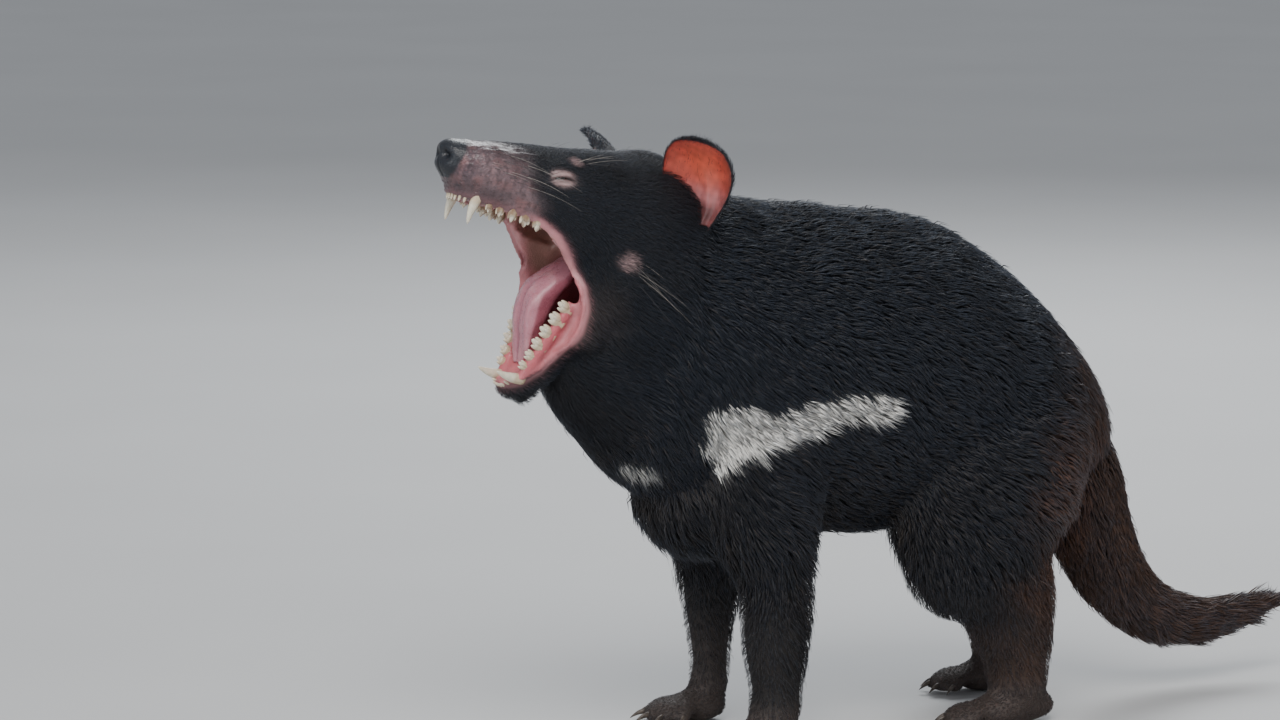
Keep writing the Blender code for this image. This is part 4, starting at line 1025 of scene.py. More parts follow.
def lie_of(places, normals, spots):
    """The way that the hair lies: back along head, neck and trunk, down the legs and along the tail."""
    x, y, z = places.T
    ahead, left, up = spots.T
    flank = 1.0 - np.abs(normals[:, 2])
    flow = np.stack([np.ones(len(x)), 0.0 * x, -0.65 * flank - 0.1], axis=1)
    rump = ease(x, 0.06, 0.13)[:, None]
    flow = flow * (1.0 - rump) + rump * np.array([0.55, 0.0, -1.0])
    throat = ease(-x, 0.10, 0.17)[:, None] * ease(0.29 - z, 0.0, 0.06)[:, None]
    flow = flow * (1.0 - throat) + throat * np.array([0.55, 0.0, -0.85])
    leg = (ease(0.150 - z, 0.0, 0.05) * (x < 0.135))[:, None]
    flow = flow * (1.0 - leg) + leg * np.array([0.22, 0.0, -1.0])
    foot = (ease(0.026 - z, 0.0, 0.010) * (x < 0.135))[:, None]
    flow = flow * (1.0 - foot) + foot * np.array([-0.9, 0.0, -0.35])
    turn = np.array(HEAD)[:3, :3] * 1000.0
    spread = 0.25 * np.sign(left) * ease(np.abs(left), 5.0, 40.0)
    back = np.stack([-np.ones(len(x)), spread, -0.10 - 0.35 * ease(-up, 0.0, 60.0)], axis=1) @ turn.T
    chin = np.array([-0.85, 0.0, 0.1]) @ turn.T
    low = ease(-up, 62.0, 95.0)[:, None]
    back = back * (1.0 - low) + chin * low
    head = ease(ahead, -42.0, -5.0)[:, None]
    flow = flow * (1.0 - head) + back * head
    tail = (ease(x, 0.120, 0.150) * ease(0.175 - z, 0.0, 0.03))[:, None]
    flow = flow * (1.0 - tail) + along_line(places, TAIL_LINE)[0] * tail
    flow = flow - normals * np.sum(flow * normals, axis=1)[:, None]
    return unit(flow)


def hair_length(places, normals, spots):
    """Length of the hair at each place, in metres."""
    x, y, z = places.T
    ahead, left, up = spots.T
    length = 0.0140 + 0.0030 * ease(0.15 - z, 0.0, 0.03) + 0.002 * ease(x, 0.05, 0.12)
    ruff = ease(-x, 0.09, 0.15) * ease(0.30 - z, 0.0, 0.05)
    length = length + 0.0050 * ruff
    leg = ease(0.125 - z, 0.0, 0.05) * (x < 0.135)
    behind = ease(normals[:, 0], 0.2, 0.8)
    length = length * (1.0 - leg) + leg * (0.0065 + 0.0050 * behind)
    low = ease(0.070 - z, 0.0, 0.035) * (x < 0.135)
    length = length * (1.0 - low) + low * (0.0042 + 0.0018 * behind)
    foot = ease(0.028 - z, 0.0, 0.012) * (x < 0.135)
    length = length * (1.0 - foot) + foot * 0.0022
    head = ease(ahead, -38.0, 6.0)
    jowl = ease(-up, 18.0, 60.0) * ease(-ahead, -30.0, 0.0)
    on_head = 0.0062 + 0.0050 * jowl - 0.0034 * ease(ahead, 30.0, 90.0)
    chin = ease(-up, 95.0, 112.0) * ease(ahead, 20.0, 34.0)
    on_head = on_head * (1.0 - chin) + 0.0040 * chin
    length = length * (1.0 - head) + head * on_head
    tail = ease(x, 0.120, 0.150) * ease(0.175 - z, 0.0, 0.03)
    share = along_line(places, TAIL_LINE)[1]
    brush = 0.016 + 0.012 * ease(share, 0.30, 0.60) - 0.006 * ease(share, 0.85, 1.0)
    return length * (1.0 - tail) + tail * brush


def stands(places, spots):
    """Height of the tips over the skin."""
    x, y, z = places.T
    high = coat_depth(places, spots)
    tail = ease(x, 0.130, 0.160) * ease(0.175 - z, 0.0, 0.03)
    return np.maximum(high, 0.0007) * (1.0 - tail) + tail * 0.0045


def rooted(chosen, weight, count, rng):
    """Roots spread over some faces of the skin as the weight asks: place, normal and place on the unwrap."""
    skin_places, skin_normals = rows_of(mesh)
    faces = corners[chosen]
    a, b, c = (skin_places[faces[:, k]] for k in range(3))
    area = np.linalg.norm(np.cross(b - a, c - a), axis=1) * weight
    total = np.cumsum(area)
    picks = (np.arange(count) + rng.uniform(0.0, 1.0, count)) * total[-1] / count
    index = np.minimum(np.searchsorted(total, picks), len(faces) - 1)
    u, v = rng.uniform(0.0, 1.0, (2, count))
    u, v = np.where(u + v > 1.0, 1.0 - u, u), np.where(u + v > 1.0, 1.0 - v, v)
    share = np.stack([1.0 - u - v, u, v], axis=1)[:, :, None]
    face = faces[index]
    return ((skin_places[face] * share).sum(axis=1), unit((skin_normals[face] * share).sum(axis=1)),
            (unwrap[chosen][index] * share).sum(axis=1))


def clumped(roots, tips, every, pull, rng):
    """Draw the tips of neighbouring tufts together."""
    seeds = rng.choice(len(roots), max(1, len(roots) // every), replace=False)
    tree = KDTree(len(seeds))
    for k, i in enumerate(seeds):
        tree.insert(roots[i], k)
    tree.balance()
    mine = np.array([tree.find(root)[1] for root in roots])
    size = np.bincount(mine, minlength=len(seeds))
    middle = np.stack([np.bincount(mine, weights=tips[:, k], minlength=len(seeds)) for k in range(3)], axis=1)
    middle = middle / np.maximum(size, 1)[:, None]
    return tips + (middle[mine] - tips) * pull, mine


def mesh_of(name, points, faces):
    made = bpy.data.meshes.new(name)
    made.vertices.add(len(points))
    made.vertices.foreach_set("co", points.astype(np.float32).ravel())
    made.loops.add(faces.size)
    made.loops.foreach_set("vertex_index", faces.astype(np.int32).ravel())
    made.polygons.add(len(faces))
    made.polygons.foreach_set("loop_start", np.arange(0, faces.size, 3, dtype=np.int32))
    made.update(calc_edges=True)
    obj = bpy.data.objects.new(name, made)
    bpy.context.scene.collection.objects.link(obj)
    made.shade_smooth()
    return obj


def hair_piece(name, points, rings, flat, hues, shades):
    """Join closed blades of three sides, from their rings and tips, as one piece of hair.
    Each blade has a small patch of its own at its root's place on the unwrap."""
    count = len(points)
    pattern = [(0, 1, 2)]
    for r in range(rings - 1):
        for k in range(3):
            a, b = r * 3 + k, r * 3 + (k + 1) % 3
            pattern += [(a, a + 3, b), (b, a + 3, b + 3)]
    last = (rings - 1) * 3
    pattern += [(last + k, last + 3, last + (k + 1) % 3) for k in range(3)]
    faces = (np.array(pattern)[None] + (np.arange(count) * (rings * 3 + 1))[:, None, None]).reshape(-1, 3)
    made = mesh_of(name, points.reshape(-1, 3), faces)
    shades = np.concatenate([np.repeat(shades[:-1], 3), shades[-1:]])
    hues = np.clip(hues[:, None] * shades[None, :, None], 0.0, 0.95).reshape(-1, 3)
    paint(made.data, hues, np.tile(shades / 2.0, count))
    patch = [(k - 1.0, 2.0 * r / rings - 1.0) for r in range(rings) for k in range(3)] + [(0.0, 1.0)]
    spread = (flat[:, None] + np.array(patch)[None] * PATCH_HALF).reshape(-1, 2)[faces.ravel()]
    layer = made.data.uv_layers.new(name="OFBake")
    layer.data.foreach_set("uv", spread.astype(np.float32).ravel())
    made.data.materials.append(hair)
    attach(made, "root")


def tufts(name, chosen, weight, count, half, seed, rings=2, gather=(9, 0.35), wild=1.0):
    """One piece of the coat: closed tapered blades of three sides, each rooted in the skin."""
    rng = np.random.default_rng(seed)
    roots, out, flat = rooted(chosen, weight, count, rng)
    spots = headward(roots)
    lie = lie_of(roots, out, spots)
    side = np.cross(out, lie)
    swing = 0.22 * ripple(roots, 0.035, 31) + 0.20 * ripple(roots, 0.012, 32)
    swing = wild * (swing + rng.normal(0.0, 0.16, count))
    lie = lie * np.cos(swing)[:, None] + side * np.sin(swing)[:, None]
    side = np.cross(out, lie)
    length = hair_length(roots, out, spots) * rng.uniform(0.70, 1.15, count)
    high = stands(roots, spots) * rng.uniform(0.55, 1.20, count)
    stray = rng.uniform(0.0, 1.0, count) > 0.97
    high = high * np.where(stray, 1.6, 1.0)
    colour, bare = tone(roots, spots, np.zeros(count))
    length = length * (1.0 - 0.6 * bare)
    high = high * (1.0 - 0.7 * bare)
    tips = roots + lie * length[:, None] + out * high[:, None]
    tips, clump = clumped(roots, tips, gather[0], gather[1], rng)
    thick = half * rng.uniform(0.7, 1.25, count) * np.clip(length / 0.010, 0.45, 1.35) ** 0.5
    steps = [-0.04, 0.42] if rings == 2 else [-0.03, 0.30, 0.68]
    broad = [0.80, 1.00] if rings == 2 else [0.80, 1.00, 0.72]
    run = tips - roots
    points = np.empty((count, rings * 3 + 1, 3))
    for r, (t, size) in enumerate(zip(steps, broad)):
        lift = high * (1.45 * t * (1.0 - t)) - (0.0007 if r == 0 else 0.0)
        middle = roots + run * t + out * lift[:, None]
        across = side * (thick * size)[:, None]
        points[:, r * 3] = middle + across
        points[:, r * 3 + 1] = middle - across
        points[:, r * 3 + 2] = middle + out * (thick * size * 0.7)[:, None]
    points[:, -1] = tips
    points[:, :, 2] += np.maximum(0.0002 - points[:, :, 2].min(axis=1), 0.0)[:, None]
    bright = rng.uniform(0.70, 1.30, count) * (0.85 + 0.30 * rng.uniform(0.0, 1.0, clump.max() + 1))[clump]
    warm = np.where(rng.uniform(0.0, 1.0, count) > 0.90, 1.0, 0.0)[:, None] * np.array([0.010, 0.006, 0.003])
    hue = np.clip(colour * bright[:, None] + warm, 0.0, 0.92)
    hair_piece(name, points, rings, flat, hue, [0.60, 1.0, 1.15][:rings] + [1.30])


# Hair material: dark pigment with a cool sheen along each tuft
hair, nodes, links = shader_nodes("hair")
shader = nodes["Principled BSDF"]
tint = toned(nodes, links, Scale=420.0, Detail=3.0, Darkest=0.75, Lightest=1.25)
roughened(nodes, links, tint.outputs["Cloud"], 0.42, 0.62)
shader.inputs["Specular IOR Level"].default_value = 0.35
shader.inputs["Sheen Weight"].default_value = 0.10
shader.inputs["Sheen Tint"].default_value = (0.55, 0.70, 1.0, 1.0)

skin_places, skin_normals = rows_of(mesh)
middles = skin_places[corners].mean(axis=1)
facing = unit(skin_normals[corners].mean(axis=1))
spots = headward(middles)
lining = lined[corners].mean(axis=1)
colour, bare = tone(middles, spots, lining)
grows = (lining < 0.25) & ~((facing[:, 2] < -0.6) & (middles[:, 2] < 0.004))
grows &= to_line(spots[:, [0, 2]], LIP_LINE) > np.where(np.abs(spots[:, 1]) > 8.0, 2.2, 1.5)
grows &= ~((spots[:, 0] > 121.0) & (spots[:, 2] > -14.0))
weight = np.clip(1.0 - 0.85 * bare, 0.08, 1.0)
x, y, z = middles.T
ahead, left, up = spots.T
on_head = ahead > -24.0
on_tail = (x > 0.128) & (z < 0.150) & ~((x < 0.14) & (z < 0.05))
on_neck = ~on_head & (x < -0.105) & (z > 0.150)
low = ~on_head & ~on_tail & ~on_neck & (z < 0.125)
on_flank = ~on_head & ~on_tail & ~on_neck & ~low
# Columns: name, faces, number of tufts, half thickness, rings, clump size and pull, waywardness
regions = [
    ("coat_head_left", on_head & (left > 0.0), 19000, 0.00020, 2, (7, 0.30), 0.8),
    ("coat_head_right", on_head & (left <= 0.0), 19000, 0.00020, 2, (7, 0.30), 0.8),
    ("coat_neck", on_neck, 19500, 0.00040, 2, (10, 0.40), 1.0),
    ("coat_flank_left", on_flank & (y < 0.0), 19500, 0.00048, 2, (10, 0.40), 1.0),
    ("coat_flank_right", on_flank & (y >= 0.0), 19500, 0.00048, 2, (10, 0.40), 1.0),
    ("coat_forelegs", low & (x < -0.045), 14000, 0.00030, 2, (8, 0.30), 0.8),
    ("coat_hindlegs", low & (x >= -0.045), 19000, 0.00036, 2, (8, 0.35), 0.9),
    ("coat_tail", on_tail, 12000, 0.00036, 3, (12, 0.55), 1.0),
]
for seed, (name, region, count, half, rings, gather, wild) in enumerate(regions):
    chosen = np.flatnonzero(region & grows)
    dense = weight[chosen] * (1.0 + 1.2 * ease(spots[chosen, 0], 10.0, 70.0))
    dense = dense * (1.0 + 1.5 * ease(0.035 - z[chosen], 0.0, 0.02))
    tufts(name, chosen, dense, count, half, 100 + seed, rings, gather, wild)


# Ears: thin rounded cups of skin, nearly bare and rosy inside with light shining through, with a dark
# furred back and rim. Folds of the cup run down to the notch at its base.
EAR_BASE = (-14.0, 48.5, 8.0)
EAR_ROLL = 2.5
EAR_HAIRS = 3500
EAR_RISE = (0.36, 0.26, 0.90)
EAR_FACING = (0.80, 0.60, 0.0)
# Columns: height, half width, depth of the cup and how far forward its rim stands
EAR_ROWS = [(-7.0, 12.0, 8.0, 0.0), (4.0, 17.0, 12.0, -1.0), (15.0, 21.0, 13.5, -2.0),
            (26.0, 22.5, 12.5, -2.0), (36.0, 20.5, 9.5, -0.5), (43.0, 15.5, 6.0, 1.0),
            (46.5, 8.5, 3.0, 2.5), (47.6, 2.5, 1.0, 3.2)]


def ear_frame(side):
    rise = Vector((EAR_RISE[0], side * EAR_RISE[1], EAR_RISE[2])).normalized()
    facing = Vector((EAR_FACING[0], side * EAR_FACING[1], EAR_FACING[2]))
    facing = (facing - rise * facing.dot(rise)).normalized()
    across = rise.cross(facing)
    place = Matrix((across, rise, facing)).transposed().to_4x4()
    place.translation = Vector((EAR_BASE[0], side * EAR_BASE[1], EAR_BASE[2] + side * EAR_ROLL))
    return HEAD @ place


def ear(side, word):
    """The cup as an inner and an outer sheet that meet in a rounded rim."""
    rows = np.array(smooth_rows(EAR_ROWS, 7))
    columns = 56
    t = np.linspace(-1.0, 1.0, columns + 1)
    height = np.repeat(rows[:, :1], columns + 1, axis=1)
    turn = t[None] * math.pi * 0.5
    across = rows[:, 1:2] * np.sin(turn)
    inward = rows[:, 3:4] - rows[:, 2:3] * np.cos(turn)
    high = np.clip(height / 47.0, 0.0, 1.0)
    # the outer edge behind, and the front edge rolled in near the head
    front = np.clip(-t[None] * -side, 0.0, 1.0)
    inward = inward + 2.2 * ease(front, 0.72, 1.0) * (1.0 - high)
    ribs = 0.9 * np.sin(t[None] * 9.0 + 3.0 * high) * ease(1.0 - high, 0.0, 0.5) * (1.0 - t[None] ** 2)
    folds = 1.6 * np.exp(-((t[None] - 0.25 + 0.5 * high) / 0.10) ** 2) * ease(0.55 - high, 0.0, 0.3)
    folds += 1.4 * np.exp(-((t[None] + 0.22 - 0.3 * high) / 0.09) ** 2) * ease(0.50 - high, 0.0, 0.3)
    thick = 0.75 + 0.9 * (1.0 - high) - 0.25 * np.abs(t[None]) ** 3
    sheets = []
    for outer in (False, True):
        depth = inward - (thick if outer else 0.0) + (0.0 if outer else 1.0) * (ribs + folds)
        grow = 1.0 + (0.012 if outer else 0.0)
        sheets.append(np.stack([across * grow, height, depth], axis=2))
    inner, outer = sheets
    n, m = inner.shape[:2]
    points = np.concatenate([inner.reshape(-1, 3), outer.reshape(-1, 3)])
    grid = np.arange(n * m).reshape(n, m)
    quads = [np.stack([grid[:-1, :-1], grid[:-1, 1:], grid[1:, 1:], grid[1:, :-1]], axis=2).reshape(-1, 4)]
    quads.append(quads[0][:, ::-1] + n * m)
    rim = list(grid[0]) + list(grid[1:, -1]) + list(grid[-1, -2::-1]) + list(grid[-2:0:-1, 0])
    rim = np.array(rim)
    after = np.roll(rim, -1)
    quads.append(np.stack([rim, rim + n * m, after + n * m, after], axis=1))
    quads = np.concatenate(quads)
    triangles = np.concatenate([quads[:, [0, 1, 2]], quads[:, [0, 2, 3]]])
    turn = np.array(ear_frame(side))
    made = mesh_of(f"ear_{word}_cup", points @ turn[:3, :3].T + turn[:3, 3], triangles)
    bm = bmesh.new()
    bm.from_mesh(made.data)
    bmesh.ops.recalc_face_normals(bm, faces=bm.faces)
    bm.to_mesh(made.data)
    bm.free()
    # colour: rosy and translucent inside with a painted glow of light through the middle of the cup, darker
    # toward the rim, painted shade toward the front and in the base of the cup, dark behind
    edge = np.maximum(np.abs(t[None]), ease(high, 0.80, 1.0) * 0.98)
    inside = np.tile([0.50, 0.105, 0.085], (n * m, 1))
    # painted glow: light shining through the middle of the cup
    painted_glow = np.exp(-((t[None] * 1.4) ** 2) - ((high - 0.62) / 0.30) ** 2).ravel()
    inside = mixed(inside, (0.78, 0.150, 0.085), painted_glow)
    pale = (ease(0.40 - high, 0.0, 0.25) * (1.0 - 0.3 * np.abs(t[None]))).ravel()
    inside = mixed(inside, (0.46, 0.20, 0.21), 0.75 * pale)
    # painted shade toward the front edge, which rolls in near the head
    painted_front_shade = (ease(front, 0.15, 0.85) * (0.7 + 0.3 * high)).ravel()
    inside = mixed(inside, (0.070, 0.022, 0.022), 0.72 * painted_front_shade)
    inside = mixed(inside, (0.030, 0.020, 0.020), (ease(edge, 0.88, 0.98)).ravel() * 0.85)
    # painted shade in the deep base of the cup
    deep = (ease(0.16 - high, 0.0, 0.12) * (1.0 - ease(np.abs(t[None]), 0.3, 0.8))).ravel()
    inside = mixed(inside, (0.045, 0.012, 0.012), 0.8 * deep)
    behind = np.tile(BLACK * 1.8, (n * m, 1))
    hues = np.concatenate([inside, behind])
    veins = 1.0 + 0.16 * ripple(points / 1000.0, 0.006, 70)
    paint(made.data, np.clip(hues * veins[:, None], 0.0, 1.0), np.repeat([1.0, 0.0], n * m))
    made.data.materials.append(ear_skin)
    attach(made, "root")
    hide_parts(f"ear_{word}")
    return made.data, n, m


def ear_hair(side, word, mesh, n, m):
    """Fine dark hair over the back of the ear and round its rim, and a few wisps in the cup."""
    rng = np.random.default_rng(80 + side)
    places, normals = rows_of(mesh)
    count = EAR_HAIRS
    i = rng.integers(1, n - 1, count)
    j = rng.integers(1, m - 1, count)
    back = rng.uniform(0.0, 1.0, count) > 0.30
    rim = ~back & (rng.uniform(0.0, 1.0, count) > 0.25)
    end = rng.integers(0, 3, count)
    j = np.where(rim & (end == 0), 0, np.where(rim & (end == 1), m - 1, j))
    i = np.where(rim & (end == 2), n - 2, i)
    index = i * m + j + np.where(back | rim, n * m, 0)
    roots = places[index] + rng.normal(0.0, 0.0003, (count, 3))
    out = normals[index]
    frame_turn = np.array(ear_frame(side))[:3, :3] * 1000.0
    rise = frame_turn @ np.array([0.0, 1.0, 0.0])
    facing = frame_turn @ np.array([0.0, 0.0, 1.0])
    lie = np.tile(rise, (count, 1)) + np.where(rim, 0.55, 0.0)[:, None] * facing
    lie = lie + rng.normal(0.0, 0.22, (count, 3))
    lie = unit(lie - out * np.sum(lie * out, axis=1)[:, None] * 0.9)
    length = np.where(back, 0.0046, np.where(rim, 0.0042, 0.0050)) * rng.uniform(0.6, 1.2, count)
    stand = np.where(back, 0.0007, 0.0004)
    tips = roots + lie * length[:, None] + out * stand[:, None]
    thick = 0.00013 * rng.uniform(0.7, 1.2, count) * np.where(back | rim, 1.0, 0.6)
    hues = np.where((back | rim)[:, None], BLACK * 1.6, np.array([0.20, 0.09, 0.08]))
    hues = hues * rng.uniform(0.6, 1.4, count)[:, None]
    flat = np.stack([(j + 0.5) / m * 0.45 + np.where(back, 0.5, 0.0), (i + 0.5) / n * 0.9 + 0.05], axis=1)
    run = tips - roots
    side_way = unit(np.cross(out, run))
    points = np.empty((count, 7, 3))
    for r, (share, size, sunk) in enumerate(((-0.05, 0.8, 0.0004), (0.45, 1.0, 0.0))):
        middle = roots + run * share - out * sunk
        across = side_way * (thick * size)[:, None]
        points[:, r * 3] = middle + across
        points[:, r * 3 + 1] = middle - across
        points[:, r * 3 + 2] = middle + out * (thick * size * 0.8)[:, None]
    points[:, 6] = tips
    hair_piece(f"coat_ear_{word}", points, 2, flat, hues, [0.7, 1.0, 1.2])


ear_skin, nodes, links = shader_nodes("ear_skin")
shader = nodes["Principled BSDF"]
toned(nodes, links, Scale=120.0, Detail=5.0, Darkest=0.78, Lightest=1.22)
where = nodes.new("ShaderNodeTexCoord")
pores = node(nodes, "ShaderNodeTexNoise", Scale=900.0, Detail=4.0)
links.new(where.outputs["Object"], pores.inputs["Vector"])
dent = node(nodes, "ShaderNodeBump", Strength=0.3, Distance=0.0004)
links.new(pores.outputs["Fac"], dent.inputs["Height"])
links.new(dent.outputs["Normal"], shader.inputs["Normal"])
shader.inputs["Roughness"].default_value = 0.48
fleshy(shader, 0.25, (1.0, 0.25, 0.15), 0.003)

for side, word in ((1, "left"), (-1, "right")):
    ear_hair(side, word, *ear(side, word))

# Teeth: ivory, stained brown at the necks of the upper cheek teeth. Four incisors above and three below
# on each side, a long curved canine, and premolars and molars with cusps. They stand in the gums.
# Columns: forward or along, half width of the row, length, half thickness and lean
UPPER_TEETH = [
    (119.5, 1.6, 2.5, 1.3, 0.3), (119.0, 4.4, 2.5, 1.3, 0.3),
    (117.6, 7.0, 2.5, 1.3, 0.2), (115.4, 9.3, 2.5, 1.4, 0.0),
    (110.0, 13.0, 14.0, 3.1, 1.0),
    (101.0, 14.7, 4.0, 2.2, 0.0), (94.0, 16.0, 4.5, 2.5, 0.0), (86.0, 17.8, 5.0, 3.0, 0.0),
    (78.0, 19.7, 5.5, 3.3, 0.0), (70.0, 21.9, 5.5, 3.3, 0.0), (62.5, 23.8, 3.5, 2.6, 0.0),
]
LOWER_TEETH = [
    (99.0, 1.6, 3.5, 1.4, 0.5), (98.5, 4.4, 3.5, 1.4, 0.5), (96.8, 7.0, 3.5, 1.4, 0.3),
    (92.0, 10.6, 13.5, 3.1, 3.0),
    (84.0, 12.7, 4.0, 2.4, 0.0), (77.0, 14.3, 4.5, 2.8, 0.0), (69.0, 16.4, 5.0, 3.3, 0.0),
    (60.5, 18.8, 5.5, 3.5, 0.0), (51.5, 21.4, 5.5, 3.5, 0.0), (43.0, 23.6, 5.0, 3.1, 0.0),
]


def cone(bm, root, tip, broad, half, slim, bow=Vector(), blunt=0.22, rings=9, sides=12):
    """A tooth or cusp: an oval tube from a sunk root to a rounded tip, bowed at its middle."""
    axis = (tip - root).normalized()
    broad = (broad - axis * broad.dot(axis)).normalized()
    other = axis.cross(broad)
    loops = []
    for r in range(rings):
        t = r / (rings - 1)
        centre = root.lerp(tip, t) + bow * (4 * t * (1 - t))
        size = (1.0 - (1.0 - blunt) * t ** 1.7) * (1.0 if t < 0.9 else math.cos((t - 0.9) * 12.0))
        loops.append(oval(centre, broad, other, half * size, slim * size, slim * size, sides))
    ring_loft(bm, loops)


def tooth_row(name, rows, place, rise, stain, seed):
    """All the teeth of one jaw. Stain is how brown their necks are."""
    rng = random.Random(seed)
    bm = bmesh.new()
    for where_along, half, length, thick, lean in rows:
        for side in (1, -1):
            gumline = place(where_along, half, side)
            along = (place(where_along + 1.0, half, side) - gumline).normalized()
            cross_way = along.cross(rise).normalized()
            root = gumline - rise * (GUM_RADIUS * 0.5)
            top = GUM_RADIUS + length
            if length > 10.0:
                tip = gumline + rise * top + along * lean
                cone(bm, root - along * 1.5, tip, along, thick * 1.15, thick * 0.92,
                     along * 1.1, 0.16, 14, 16)
                continue
            if thick < 1.5:
                tip = gumline + rise * top + along * lean
                cone(bm, root, tip, cross_way, thick, thick * 0.8, Vector(), 0.62)
                continue
            wobble = rng.uniform(-0.3, 0.3)
            body = gumline + rise * (GUM_RADIUS + length * 0.45)
            cone(bm, root, body, along, thick * 1.35, thick * 0.95, Vector(), 0.72)
            main = gumline + rise * (top + wobble) - along * thick * 0.15
            cone(bm, root.lerp(body, 0.55), main, along, thick * 0.80, thick * 0.66, Vector(), 0.30)
            for shift, across, high in ((0.85, 0.1, 0.72), (-0.85, 0.1, 0.66), (-0.1, -0.75, 0.62)):
                foot = root.lerp(body, 0.5) + along * thick * shift * 0.8
                foot = foot + cross_way * (side * across * thick * 0.6)
                point = gumline + rise * (GUM_RADIUS + length * high) + along * thick * shift
                point = point + cross_way * (side * across * thick)
                cone(bm, foot, point, along, thick * 0.52, thick * 0.50, Vector(), 0.34, 7, 10)
    made = new_object(name, bm)
    made.data.transform(HEAD)
    places, normals = rows_of(made.data)
    spots = headward(places)
    reach = (spots - np.array(place(80.0, 15.0, 0))) @ np.array(rise) - GUM_RADIUS
    ivory = np.tile([0.76, 0.70, 0.56], (len(places), 1))
    ivory = mixed(ivory, (0.50, 0.33, 0.17), 0.55 * ease(-reach, -3.0, 0.5))
    cheekward = ease(-spots[:, 0], -106.0, -101.0) if stain > 0.5 else np.ones(len(places))
    dirt = ease(ripple(places, 0.004, seed) + 0.8 * ease(-reach, -4.0, 0.0), -0.1, 1.0)
    ivory = mixed(ivory, (0.19, 0.085, 0.035), stain * dirt * cheekward)
    paint(made.data, ivory * (1.0 + 0.05 * ripple(places, 0.003, seed + 1))[:, None], np.ones(len(places)))
    made.data.materials.append(enamel)
    made.data.shade_smooth()
    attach(made, "root")
    return made


enamel, nodes, links = shader_nodes("enamel")
tint = toned(nodes, links, Scale=500.0, Detail=4.0, Darkest=0.88, Lightest=1.08)
roughened(nodes, links, tint.outputs["Cloud"], 0.18, 0.34)
fleshy(nodes["Principled BSDF"], 0.15, (0.8, 0.6, 0.4), 0.001)

jaw_rise = Vector((math.sin(GAPE), 0.0, math.cos(GAPE)))
tooth_row("teeth_upper", UPPER_TEETH, upper_place, Vector((0.0, 0.0, -1.0)), 0.75, 41)
tooth_row("teeth_lower", LOWER_TEETH, lower_place, jaw_rise, 0.12, 43)

# Tongue: a thick muscle arched up from the floor of the mouth, wet and mauve pink, with a groove along
# its middle and its near edge curled over.
TONGUE = [(81.5, -10.5, 4.0, 1.5, 3.0), (75.0, -9.0, 8.5, 3.5, 5.0), (67.0, -6.0, 11.0, 4.5, 7.0),
          (59.0, -2.5, 12.5, 5.5, 9.0), (50.0, 0.5, 13.0, 6.0, 11.0), (42.0, 1.5, 13.5, 6.0, 12.0),
          (32.0, -2.0, 14.5, 6.0, 10.0), (20.0, -8.0, 15.0, 5.0, 7.0), (11.0, -12.0, 11.0, 3.0, 4.0)]
TONGUE_LEFT = -1.0


def tongue():
    stations = []
    for along, rise, half, above, below in TONGUE:
        forward, up = jaw_point(along, rise)
        stations.append((forward, TONGUE_LEFT, up, half, above, below))
    made = limb("tongue_flesh", stations, count=64, steps=12, squareness=0.85, matrix=HEAD)
    made.data.update()
    places, normals = rows_of(made.data)
    spots = headward(places)
    off = spots[:, 1] - TONGUE_LEFT
    along = (spots[:, 0] - JAW_HINGE[0]) * math.cos(GAPE) - (spots[:, 2] - JAW_HINGE[1]) * math.sin(GAPE)
    top = ease(normals @ (np.array(HEAD)[:3, :3] * 1000.0 @ np.array(jaw_rise)), 0.0, 0.5)
    groove = np.exp(-((off + 1.0) / 1.6) ** 2) * ease(along, 24.0, 40.0) * (1.0 - ease(along, 78.0, 86.0))
    roll = np.exp(-((off - 9.0) / 2.6) ** 2) * ease(along, 34.0, 52.0) * (1.0 - ease(along, 74.0, 84.0))
    out = top * (-0.0016 * groove + 0.0022 * roll) + 0.00035 * ripple(places, 0.010, 51)
    places = places + normals * out[:, None]
    made.data.vertices.foreach_set("co", places.astype(np.float32).ravel())
    hue = np.tile([0.46, 0.19, 0.235], (len(places), 1))
    hue = mixed(hue, (0.58, 0.30, 0.33), ease(ripple(places, 0.012, 52), -0.2, 1.0) * 0.5 * top)
    hue = mixed(hue, (0.33, 0.08, 0.115), 0.7 * (1.0 - top))
    # painted shade in the groove along the middle of the tongue
    hue = mixed(hue, (0.28, 0.10, 0.13), groove * top * 0.6)
    paint(made.data, hue, np.ones(len(places)))
    made.data.materials.append(wet)
    made.data.shade_smooth()
    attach(made, "root")
    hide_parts("tongue")


wet, nodes, links = shader_nodes("wet_flesh")
shader = nodes["Principled BSDF"]
tint = toned(nodes, links, Scale=260.0, Detail=4.0, Darkest=0.82, Lightest=1.15)
roughened(nodes, links, tint.outputs["Cloud"], 0.16, 0.42)
where = nodes.new("ShaderNodeTexCoord")
buds = node(nodes, "ShaderNodeTexVoronoi", Scale=1300.0)
links.new(where.outputs["Object"], buds.inputs["Vector"])
dent = node(nodes, "ShaderNodeBump", Strength=0.35, Distance=0.0003)
links.new(buds.outputs["Distance"], dent.inputs["Height"])
links.new(dent.outputs["Normal"], shader.inputs["Normal"])
fleshy(shader, 0.2, (1.0, 0.3, 0.25), 0.003)
tongue()


# Claws: dark horn, a curved pointed claw at the end of each toe, five on a forefoot and four on a hindfoot.
# Each grows out of the toe over its nail fold and reaches down just short of the ground.
NAIL_HEIGHT = 0.0062
CLAW_DROP = 0.0042
CLAW_HALF_WIDTH = 0.0016
CLAW_HALF_DEPTH = 0.0020
CLAW_BOW = 0.0016


